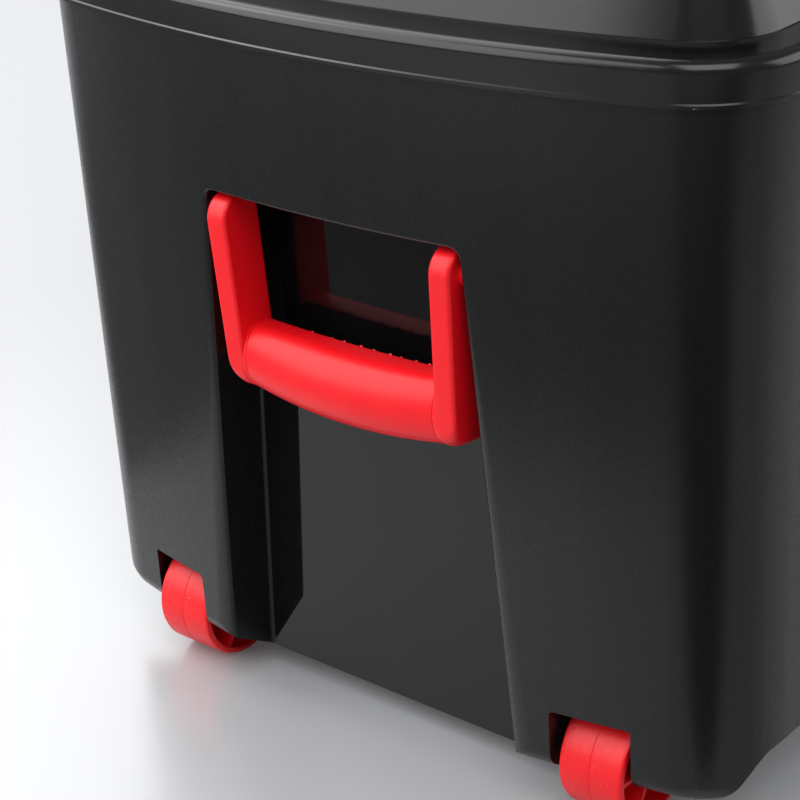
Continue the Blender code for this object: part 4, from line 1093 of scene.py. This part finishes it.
# %% [markdown]
# An arm has a round head about its pivot, a shank that leans out a little and a toe that bends in
# under the grip. It could be a flat plate. The real one has a small round on every edge and a
# larger one under its toe, so its outline is drawn again at many places across its thickness.
# %% An arm from the side
ARM_DROP = 0.083
ARM_STEPS = 28
TOE_STEPS = 12
SHANK_SHARES = (
    (1.155, -0.79),
    (1.175, -0.95),
    (1.14, -0.985),
    (0.95, -1.0),
    (0.624, -0.993),
)
TOE_CURVE_SHARES = ((0.624, -0.993), (-0.68, -0.985), (-0.762, -0.86))


def arm_outline(shrink, lift):
    """An arm seen from the side, from its pivot: a round head, a straight shank, a bent toe."""
    head = ARM_RADIUS - shrink
    drop = ARM_DROP - shrink - lift
    points = arc(0, 0, head, 180, 0, ARM_STEPS)
    points += [(head * a, drop * b) for a, b in SHANK_SHARES]
    (a0, b0), (a1, b1), (a2, b2) = TOE_CURVE_SHARES
    for i in range(1, TOE_STEPS + 1):
        share = i / TOE_STEPS
        a = a0 * (1 - share) ** 2 + 2 * a1 * share * (1 - share) + a2 * share * share
        b = b0 * (1 - share) ** 2 + 2 * b1 * share * (1 - share) + b2 * share * share
        points.append((head * a, drop * b))
    return points


print("an arm's outline has", len(arm_outline(0, 0)), "points")

# %% The slices of an arm
ARM_EDGE = 0.0018
ARM_FOOT_ROUND = 0.008
EDGE_STEPS = 4


def arm_slices():
    """Places across an arm, with how far its outline shrinks and its foot lifts at each."""
    start = ARM_OUTER - ARM_FOOT_ROUND
    slices = []
    for i in range(EDGE_STEPS + 1):
        angle = math.pi / 2 * i / EDGE_STEPS
        slices.append((ARM_INNER + ARM_EDGE * (1 - math.cos(angle)), ARM_EDGE * (1 - math.sin(angle))))
    for i in range(TOE_STEPS):
        slices.append((start + (ARM_FOOT_ROUND - ARM_EDGE) * i / TOE_STEPS, 0))
    for i in range(EDGE_STEPS + 1):
        angle = math.pi / 2 * (1 - i / EDGE_STEPS)
        slices.append((ARM_OUTER - ARM_EDGE * (1 - math.cos(angle)), ARM_EDGE * (1 - math.sin(angle))))
    lifted = []
    for across, shrink in slices:
        past = max(across - start, 0)
        lift = ARM_FOOT_ROUND - math.sqrt(max(ARM_FOOT_ROUND**2 - past**2, 0))
        lifted.append((across, shrink, lift))
    return lifted


print("an arm has", len(arm_slices()), "slices")


# %% Shape an arm, its pivot and its spigot
SPIGOT_LENGTH = 0.012


def add_arm(bm, side, mirror):
    place = handle_place(side, mirror)
    rings = []
    for across, shrink, lift in arm_slices():
        ring = []
        for depth, height in arm_outline(shrink, lift):
            ring.append(place(across + min(height, 0) * math.tan(ARM_LEAN), depth, height))
        rings.append(ring)
    add_loft(bm, rings)


def make_pivot(side, mirror):
    """The arm's collar, and the stub that turns in the recess wall."""
    place = handle_place(side, mirror)
    collar = circle(0, 0, PIVOT_COLLAR), ARM_OUTER - SEAT, COLLAR_FACE, place
    stub = circle(0, 0, PIVOT_RADIUS), ARM_OUTER - 2 * SEAT, PIVOT_TIP, place
    pivot = draw("collar", add_bar, collar)
    combine(pivot, draw("stub", add_bar, stub), "UNION")
    return pivot


def make_spigot(side, mirror):
    """The arm's neck, and the spigot that the grip is pushed onto."""
    place = handle_place(side, mirror)
    seam = GRIP_LENGTH / 2 + FIT_GAP
    root = GRIP_LENGTH / 2 + GRIP_NECK + 2 * ARM_EDGE
    tip = GRIP_LENGTH / 2 - SPIGOT_LENGTH
    back = GRIP_CENTRE_DEPTH + GRIP_BACK - SEAT
    rings = []
    for across in (tip, seam + SEAT):
        share = grip_share(min(across, GRIP_LENGTH / 2))
        section = grip_section(share, GRIP_WALL + FIT_GAP)
        rings.append([place(across, min(a, back), b) for a, b in section])
    neck = draw("neck", add_bar, (grip_section(0, 0), seam, root, place))
    combine(neck, draw("spigot", add_loft, (rings,)), "UNION")
    return neck


print("the spigot goes", SPIGOT_LENGTH, "m into the grip")

# %% Finish both handles
for side, end in ((-1, "front"), (1, "rear")):
    for mirror, hand in ((-1, "left"), (1, "right")):
        arm = draw(end + "_arm_" + hand + "_skin", add_arm, (side, mirror))
        combine(arm, make_pivot(side, mirror), "UNION")
        combine(arm, make_spigot(side, mirror), "UNION")
        settle(arm)
        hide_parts(end + "_handle_arm_" + hand)
        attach(arm, end + "_handle")
    grip = settle(make_grip(end + "_grip_skin", side))
    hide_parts(end + "_handle_grip")
    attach(grip, end + "_handle")

# %% [markdown]
# What the mould leaves behind
#
# Where two halves of a mould meet, a hair of plastic escapes. It dries as small torn crumbs along
# the upper back edge of the grip, and as one nub under the bead of the lid where the melt went in.
# A bump texture could hint at them. They stand proud of the outline, so they are small solids here.
# %% Tear a crumb
CRUMB_SIDES = 7
CRUMB_RING_SHARES = ((1.0, -0.3), (0.8, 0.35), (0.35, 0.8))
CRUMB_LONG_SHARE = 1.5
CRUMB_THIN_SHARE = 0.7
CRUMB_LEAN_SHARE = 0.5
dice = random.Random(11)


def add_crumb(bm, place, along, out, size):
    """A torn crumb: an uneven foot sunk in the surface that narrows to a leaning tip."""
    across = along.cross(out)
    reaches = [size * dice.uniform(0.6, 1.1) for _ in range(CRUMB_SIDES)]
    lean = along * size * dice.uniform(-CRUMB_LEAN_SHARE, CRUMB_LEAN_SHARE)
    rings = []
    for share, height in CRUMB_RING_SHARES:
        ring = []
        for i, reach in enumerate(reaches):
            turn = math.tau * i / CRUMB_SIDES
            flat = along * math.cos(turn) * CRUMB_LONG_SHARE + across * math.sin(turn) * CRUMB_THIN_SHARE
            ring.append(place + flat * reach * share + out * size * height + lean * max(height, 0))
        rings.append(ring)
    add_loft(bm, rings)


print("a crumb has", CRUMB_SIDES * len(CRUMB_RING_SHARES), "points")

# %% Crumbs of flash on the grips
FLASH_ALONG = (0.046, 0.0395, 0.032, 0.0235, 0.0175, 0.008, 0.0005, -0.0095, -0.0165, -0.0285)
FLASH_SIZE = 0.00055
FLASH_DROP_SHARE = 0.13
FLASH_SLOPE = 0.58


def add_flash(bm, side):
    """Ten crumbs along the upper back edge of one grip."""
    place = handle_place(side)
    out = Vector((-side * FLASH_SLOPE, 0, 1)).normalized()
    for across in FLASH_ALONG:
        top = GRIP_HALF_HEIGHT - GRIP_CENTRE_DROP - GRIP_TOP_SAG * grip_share(across)
        back = GRIP_CENTRE_DEPTH + GRIP_BACK - GRIP_BACK_CORNER / 2
        spot = place(across, back, top - GRIP_BACK_CORNER * FLASH_DROP_SHARE)
        add_crumb(bm, spot, Vector((0, 1, 0)), out, FLASH_SIZE * dice.uniform(0.6, 1.3))


for side, end in ((-1, "front"), (1, "rear")):
    crumbs = draw(end + "_grip_flash_skin", add_flash, (side,))
    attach(crumbs, end + "_handle")

# %% The nub under the bead of the lid
NUB_PLACE = Vector((-0.3773, -0.1743, 0.3394))
NUB_ALONG = Vector((0.58, -0.81, 0))
NUB_OUT = Vector((-0.81, -0.58, 0))
NUB_SIZE = 0.0009
nub = draw("lid_gate_nub", add_crumb, (NUB_PLACE, NUB_ALONG, NUB_OUT, NUB_SIZE))
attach(nub, "lid")

# %% [markdown]
# Materials: tools first
#
# Moulded plastic is never quite even. The mould leaves a fine grain, handling leaves faint rubbed
# marks, and dust settles on what faces up. A photograph wrapped round the part could show these.
# Small node groups are built instead, once each, and every plastic uses them with its own amounts.
# %% A short way to write nodes


def plug(tree, value, socket):
    """Links another socket into this one, or sets it to a plain value."""
    if isinstance(value, bpy.types.NodeSocket):
        tree.links.new(value, socket)
    else:
        socket.default_value = value


def add_node(tree, kind, values=None, **settings):
    """Adds a node, applies its settings and fills its sockets, given by name or by number."""
    node = tree.nodes.new(kind)
    for key, setting in settings.items():
        setattr(node, key, setting)
    for key, value in (values or {}).items():
        plug(tree, value, node.inputs[key])
    return node


# %% Tools for values, places and colours
def maths(tree, operation, first, second):
    return add_node(tree, "ShaderNodeMath", {0: first, 1: second}, operation=operation).outputs[0]


def noise(tree, place, scale, detail, roughness):
    values = {"Vector": place, "Scale": scale, "Detail": detail, "Roughness": roughness}
    return add_node(tree, "ShaderNodeTexNoise", values).outputs["Fac"]


def spread(tree, value, low, high, to_low=0.0, to_high=1.0):
    """Spreads what lies between low and high over another span."""
    values = {"Value": value, "From Min": low, "From Max": high, "To Min": to_low, "To Max": to_high}
    return add_node(tree, "ShaderNodeMapRange", values).outputs[0]


def stretch(tree, place, amounts):
    values = {0: place, 1: amounts}
    return add_node(tree, "ShaderNodeVectorMath", values, operation="MULTIPLY").outputs[0]


def mix_colours(tree, share, first, second):
    """Mixes two colours, each another socket or a plain colour."""
    values = {"Factor": share, 6: first, 7: second}
    return add_node(tree, "ShaderNodeMix", values, data_type="RGBA").outputs[2]


# %% A group with a place, one setting and its values
def new_group(name, setting, kind, default, outputs):
    """A shader node group that takes a place and one setting and puts out values."""
    tree = bpy.data.node_groups.new(name, "ShaderNodeTree")
    tree.interface.new_socket("Place", in_out="INPUT", socket_type="NodeSocketVector")
    made = tree.interface.new_socket(setting, in_out="INPUT", socket_type=kind)
    made.default_value = default
    for socket in outputs:
        tree.interface.new_socket(socket, in_out="OUTPUT", socket_type="NodeSocketFloat")
    return tree, tree.nodes.new("NodeGroupInput").outputs, tree.nodes.new("NodeGroupOutput").inputs


# %% [markdown]
# The grain is the fine satin skin of the mould, printed in the plastic. Modelling it would take
# millions of faces, so it is a height for a bump, with a coarser fleck that also varies the shine.
# %% Mould grain
def build_grain():
    tree, get, put = new_group("mould grain", "Size", "NodeSocketFloat", 1.0, ("Height", "Fleck"))
    values = {0: get["Place"], "Scale": get["Size"]}
    place = add_node(tree, "ShaderNodeVectorMath", values, operation="SCALE").outputs[0]
    fine = noise(tree, place, scale=2600.0, detail=3.0, roughness=0.6)
    coarse = noise(tree, place, scale=420.0, detail=4.0, roughness=0.62)
    plug(tree, maths(tree, "MULTIPLY", maths(tree, "ADD", fine, coarse), 0.5), put["Height"])
    plug(tree, coarse, put["Fleck"])
    return tree


grain_group = build_grain()
print(grain_group.name, "has", len(grain_group.nodes), "nodes")


# %% [markdown]
# Flow marks are the faint streaks that plastic leaves as it fills the mould. They could be painted.
# Noise that is pulled out along one direction gives the same soft streaks and never repeats.
# %% Flow marks
def build_flow():
    along_z = (1.0, 1.0, 0.12)
    tree, get, put = new_group("flow marks", "Stretch", "NodeSocketVector", along_z, ("Mask",))
    pulled = stretch(tree, get["Place"], get["Stretch"])
    streaks = noise(tree, pulled, scale=38.0, detail=6.0, roughness=0.55)
    plug(tree, spread(tree, streaks, 0.35, 0.7), put["Mask"])
    return tree


flow_group = build_flow()
print(flow_group.name, "has", len(flow_group.nodes), "nodes")


# %% [markdown]
# Handling and rolling leave short shallow scratches in more than one direction. Two sets of noise,
# each turned and pulled out in its own way, are cut off high so that only thin lines stay.
# %% Rubbed marks
def build_rubs():
    tree, get, put = new_group("rubbed marks", "Amount", "NodeSocketFloat", 0.5, ("Mask",))
    lines = []
    for turn, amounts in ((0.5, (1.0, 14.0, 3.0)), (-0.8, (9.0, 1.0, 16.0))):
        spun = add_node(tree, "ShaderNodeVectorRotate", {"Vector": get["Place"], "Angle": turn})
        pulled = stretch(tree, spun.outputs[0], amounts)
        scratches = noise(tree, pulled, scale=60.0, detail=2.0, roughness=0.5)
        lines.append(spread(tree, scratches, 0.66, 0.74))
    either = maths(tree, "MAXIMUM", *lines)
    plug(tree, maths(tree, "MULTIPLY", either, get["Amount"]), put["Mask"])
    return tree


rub_group = build_rubs()
print(rub_group.name, "has", len(rub_group.nodes), "nodes")


# %% [markdown]
# Dust lies as a pale film on what faces up, in patches. The surface's own direction says where it
# can settle, and a cloudy noise says where it did.
# %% Settled dust
def build_dust():
    tree, get, put = new_group("settled dust", "Amount", "NodeSocketFloat", 0.1, ("Mask",))
    facing = add_node(tree, "ShaderNodeNewGeometry").outputs["Normal"]
    up = add_node(tree, "ShaderNodeSeparateXYZ", {0: facing}).outputs["Z"]
    patches = spread(tree, noise(tree, get["Place"], scale=55.0, detail=5.0, roughness=0.65), 0.35, 0.8)
    settled = maths(tree, "MULTIPLY", spread(tree, up, 0.3, 1.0), patches)
    plug(tree, maths(tree, "MULTIPLY", settled, get["Amount"]), put["Mask"])
    return tree


dust_group = build_dust()
print(dust_group.name, "has", len(dust_group.nodes), "nodes")

# %% [markdown]
# One recipe for every plastic on the bin
#
# The tub, the lid and the red parts are all moulded plastic. They differ in colour, in the polish
# of their mould and in how worn they are, so one function builds them from the same groups with
# other amounts. The colour changes a little with the flow marks, the roughness with the grain and
# the rubs, and the grain lifts the surface through a bump.
# %% Build a moulded plastic
DUST_COLOUR = (0.32, 0.31, 0.3, 1)
SCUFF_COLOUR = (0.95, 0.42, 0.4, 1)
RUB_ROUGHENS = 0.18
GRAIN_HEIGHT = 0.0001


def use_group(tree, group, place, **amounts):
    """Places a node group in a material, with the material's own amounts."""
    return add_node(tree, "ShaderNodeGroup", {"Place": place, **amounts}, node_tree=group).outputs


def start_material(name):
    material = bpy.data.materials.new(name)
    material.use_nodes = True
    return material, material.node_tree, material.node_tree.nodes["Principled BSDF"].inputs


def moulded_plastic(name, colours, polish, uneven, grain, bump, rubs, dust, gloss, scuff=0.0):
    """A plastic with its two colours, the polish of its mould and the wear it has had."""
    material, tree, shader = start_material(name)
    place = add_node(tree, "ShaderNodeTexCoord").outputs["Object"]
    skin_grain = use_group(tree, grain_group, place, Size=grain)
    flow = use_group(tree, flow_group, place)["Mask"]
    rubbed = use_group(tree, rub_group, place, Amount=rubs)["Mask"]
    dusty = use_group(tree, dust_group, place, Amount=dust)["Mask"]
    base = mix_colours(tree, flow, (*colours[0], 1), (*colours[1], 1))
    film = mix_colours(tree, dusty, base, DUST_COLOUR)
    pale = maths(tree, "MULTIPLY", rubbed, scuff)
    plug(tree, mix_colours(tree, pale, film, SCUFF_COLOUR), shader["Base Color"])
    rough = spread(tree, skin_grain["Fleck"], 0.25, 0.75, polish - uneven, polish + uneven)
    worn = maths(tree, "MULTIPLY", rubbed, RUB_ROUGHENS)
    plug(tree, maths(tree, "ADD", rough, worn), shader["Roughness"])
    values = {"Height": skin_grain["Height"], "Strength": bump, "Distance": GRAIN_HEIGHT}
    plug(tree, add_node(tree, "ShaderNodeBump", values).outputs["Normal"], shader["Normal"])
    shader["IOR"].default_value = 1.5
    shader["Specular IOR Level"].default_value = gloss
    print(name, "has", len(tree.nodes), "nodes")
    return material


# %% Mix the plastics
tub_black = moulded_plastic(
    "tub black", ((0.0042, 0.0042, 0.0045), (0.0062, 0.0062, 0.0066)),
    polish=0.28, uneven=0.035, grain=1.5, bump=0.25, rubs=0.2, dust=0.012, gloss=0.4,
)
recess_black = moulded_plastic(
    "recess black", ((0.0035, 0.0035, 0.0038), (0.0045, 0.0045, 0.0048)),
    polish=0.045, uneven=0.012, grain=0.5, bump=0.01, rubs=0.15, dust=0.0, gloss=0.32,
)
lid_black = moulded_plastic(
    "lid black", ((0.0042, 0.0042, 0.0045), (0.006, 0.006, 0.0064)),
    polish=0.2, uneven=0.03, grain=1.2, bump=0.04, rubs=0.12, dust=0.012, gloss=0.45,
)
handle_red = moulded_plastic(
    "handle red", ((0.9, 0.006, 0.012), (0.84, 0.004, 0.01)),
    polish=0.4, uneven=0.05, grain=1.2, bump=0.2, rubs=0.25, dust=0.0, gloss=0.36,
)
wheel_red = moulded_plastic(
    "wheel red", ((0.88, 0.006, 0.012), (0.8, 0.004, 0.01)),
    polish=0.4, uneven=0.06, grain=1.0, bump=0.3, rubs=0.8, dust=0.008, gloss=0.42, scuff=0.2,
)

# %% [markdown]
# The pins and axles are out of sight in the photograph and taken to be steel wire, drawn through a
# die. A plain metal would do at this size, but the die leaves fine marks along the wire, so the
# flow marks are stretched along it.
# %% Draw the steel
WIRE_STRETCH = (1.0, 60.0, 60.0)


def drawn_steel(name):
    """Wire drawn through a die: bright, with fine marks along its length."""
    material, tree, shader = start_material(name)
    place = add_node(tree, "ShaderNodeTexCoord").outputs["Object"]
    marks = use_group(tree, flow_group, place, Stretch=WIRE_STRETCH)["Mask"]
    colour = mix_colours(tree, marks, (0.5, 0.5, 0.51, 1), (0.66, 0.66, 0.67, 1))
    plug(tree, colour, shader["Base Color"])
    plug(tree, spread(tree, marks, 0.0, 1.0, 0.22, 0.42), shader["Roughness"])
    shader["Metallic"].default_value = 1.0
    print(name, "has", len(tree.nodes), "nodes")
    return material


steel = drawn_steel("drawn steel")


# %% [markdown]
# Each piece could be dressed where it is made. Done here in one place, a loop over the names gives
# the red skins one of the two reds, and the three black pieces follow. The latches, pins and axles
# are shown by the solids themselves, which only take a material.
# %% Dress the pieces
def dress(obj, material):
    obj.data.materials.clear()
    obj.data.materials.append(material)


for obj in list(scene.objects):
    if obj.name.endswith("_skin"):
        dress(obj, wheel_red if obj.name.startswith("wheel") else handle_red)
dress(tub, tub_black)
dress(lid, lid_black)
dress(nub, lid_black)
for name, node in frame["nodes"].items():
    if "pin" in name or "axle" in name:
        dress(node, steel)
    elif name.startswith("latch"):
        dress(node, handle_red)

# %% [markdown]
# The back panel of the recess comes out of the mould glossier than the outer walls. Two objects
# could carry the two finishes. One moulding stays one piece here, and each face of the tub takes
# its finish from where it lies.
# %% Polish the recesses
MOSTLY_ENDWAYS = 0.5


def is_panel(face):
    """Whether a face of the tub belongs to the back panel of a recess."""
    middle = face.center
    depth = END_FACE - abs(middle.x)
    edge = RECESS_HALF_WIDTH + (RECESS_TOP - middle.z) * RECESS_SPREAD
    return (
        depth < RECESS_DEPTH + RECESS_LEAN * RECESS_TOP + SEAT
        and abs(middle.y) < edge + SIDE_GAP
        and middle.z < RECESS_TOP + SIDE_GAP
        and depth > wall_depth(abs(middle.y), middle.z) + WALL / 2
        and abs(face.normal.x) > MOSTLY_ENDWAYS
    )


tub.data.materials.append(recess_black)
panel_faces = [face for face in tub.data.polygons if is_panel(face)]
for face in panel_faces:
    face.material_index = 1
print("polished faces:", len(panel_faces))

# %% [markdown]
# The studio
#
# The bin stands on a pale, slightly glossy table in soft light from all round. A painted backdrop
# could close the view, but the camera looks down on the table only, so one large floor is enough.
# %% Lay the floor
FLOOR_REACH = 6
FLOOR_DROP = 0.0002
FLOOR_COLOUR = (0.41, 0.415, 0.43, 1)
FLOOR_GLOW_SHARE = 0.04
bm = bmesh.new()
bmesh.ops.create_grid(bm, x_segments=1, y_segments=1, size=FLOOR_REACH)
floor = skin("studio floor", bm)
floor.location.z = -FLOOR_DROP


def surface(tree, share, first, second):
    """Puts a mix of two shaders on the surface."""
    blend = add_node(tree, "ShaderNodeMixShader", {0: share, 1: first, 2: second})
    plug(tree, blend.outputs[0], tree.nodes["Material Output"].inputs["Surface"])


floor_white, tree, shader = start_material("studio floor white")
shader["Base Color"].default_value = FLOOR_COLOUR
shader["Roughness"].default_value = 0.27
shader["IOR"].default_value = 1.95
glow = add_node(tree, "ShaderNodeEmission", {"Color": (1, 1, 1, 1), "Strength": 1.0}).outputs[0]
seen = add_node(tree, "ShaderNodeLightPath").outputs["Is Camera Ray"]
share = maths(tree, "MULTIPLY", seen, FLOOR_GLOW_SHARE)
surface(tree, share, tree.nodes["Principled BSDF"].outputs[0], glow)
dress(floor, floor_white)
print("floor reaches", FLOOR_REACH, "m each way")

# %% [markdown]
# The photograph has soft light from all round, a little stronger from behind on the left. One
# strong lamp would draw hard shadows, so five broad soft boxes and a faint pale world share it.
# %% Light the table
world = bpy.data.worlds.new("studio light")
world.use_nodes = True
scene.world = world
sky = world.node_tree.nodes["Background"].inputs
sky["Color"].default_value = (0.9, 0.95, 1.0, 1)
sky["Strength"].default_value = 0.26


def soft_box(name, place, target, width, height, power):
    """A soft rectangular lamp that looks at a target."""
    lamp = bpy.data.lights.new(name, "AREA")
    lamp.shape = "RECTANGLE"
    lamp.size = width
    lamp.size_y = height
    lamp.energy = power
    obj = bpy.data.objects.new(name, lamp)
    obj.location = place
    direction = Vector(target) - Vector(place)
    obj.rotation_euler = direction.to_track_quat("-Z", "Y").to_euler()
    scene.collection.objects.link(obj)


soft_box("key box", (0.1, 1.8, 2.1), (-0.1, 0, 0.2), width=2.8, height=2.4, power=66)
soft_box("left box", (-1.75, 1.25, 1.3), (-0.3, 0, 0.3), width=2.3, height=1.9, power=42)
soft_box("back box", (1.0, 2.8, 0.9), (0, 0, 0.3), width=2.2, height=1.4, power=10)
soft_box("front box", (-1.6, -1.1, 2.5), (-0.3, 0, 0.1), width=2.0, height=2.0, power=42)
soft_box("side box", (1.0, -1.8, 1.2), (0, 0, 0.2), width=2.2, height=1.6, power=28)
scene.view_settings.view_transform = "Standard"

# %% [markdown]
# Gloss shows what lies around. A black bin on a white table would mirror nothing but white, so dark
# cards lie on the table just out of the picture, as in a real studio. One lies in front of the
# corner, so that the end and the side read apart, one where the white table would end, and one to
# the left. They show in reflections only.
# %% Lay dark cards out of the picture
CARD_LIFT = 0.001
CORNER = Vector((-0.4, -0.2, CARD_LIFT))
CORNER_CARD_START = 0.02
CORNER_CARD_REACH = 1.1
CORNER_CARD_AZIMUTHS = (math.radians(184), math.radians(243))
TABLE_END = -0.72
TABLE_CARD_REACH = 0.5
TABLE_CARD_HALF = 2.2
LEFT_CARD = ((TABLE_END, 0.34), (-0.4, 0.34), (-0.1, 1.1), (TABLE_END, 1.1))


def dark_card(name, places, tone):
    """A flat card that only reflections from above see; the table below it sees through it."""
    bm = bmesh.new()
    bm.faces.new([bm.verts.new(place) for place in places])
    card = skin(name, bm)
    if card.data.polygons[0].normal.z < 0:
        card.data.flip_normals()
    cloth, tree, shader = start_material(name + " cloth")
    shader["Base Color"].default_value = (tone, tone, tone, 1)
    shader["Roughness"].default_value = 1.0
    under = add_node(tree, "ShaderNodeNewGeometry").outputs["Backfacing"]
    clear = add_node(tree, "ShaderNodeBsdfTransparent").outputs[0]
    surface(tree, under, tree.nodes["Principled BSDF"].outputs[0], clear)
    dress(card, cloth)
    card.visible_camera = False
    card.visible_diffuse = False
    card.visible_shadow = False
    print(name, "has tone", tone)


sides = [Vector((math.cos(azimuth), math.sin(azimuth), 0)) for azimuth in CORNER_CARD_AZIMUTHS]
near = [CORNER + side * CORNER_CARD_START for side in sides]
far = [CORNER + side * CORNER_CARD_REACH for side in sides]
dark_card("corner card", (near[0], far[0], far[1], near[1]), tone=0.02)
table_card = rectangle(TABLE_END - TABLE_CARD_REACH, -TABLE_CARD_HALF, TABLE_END, TABLE_CARD_HALF)
dark_card("table card", [(x, y, CARD_LIFT / 2) for x, y in table_card], tone=0.11)
dark_card("left card", [(x, y, CARD_LIFT / 2) for x, y in LEFT_CARD], tone=0.16)
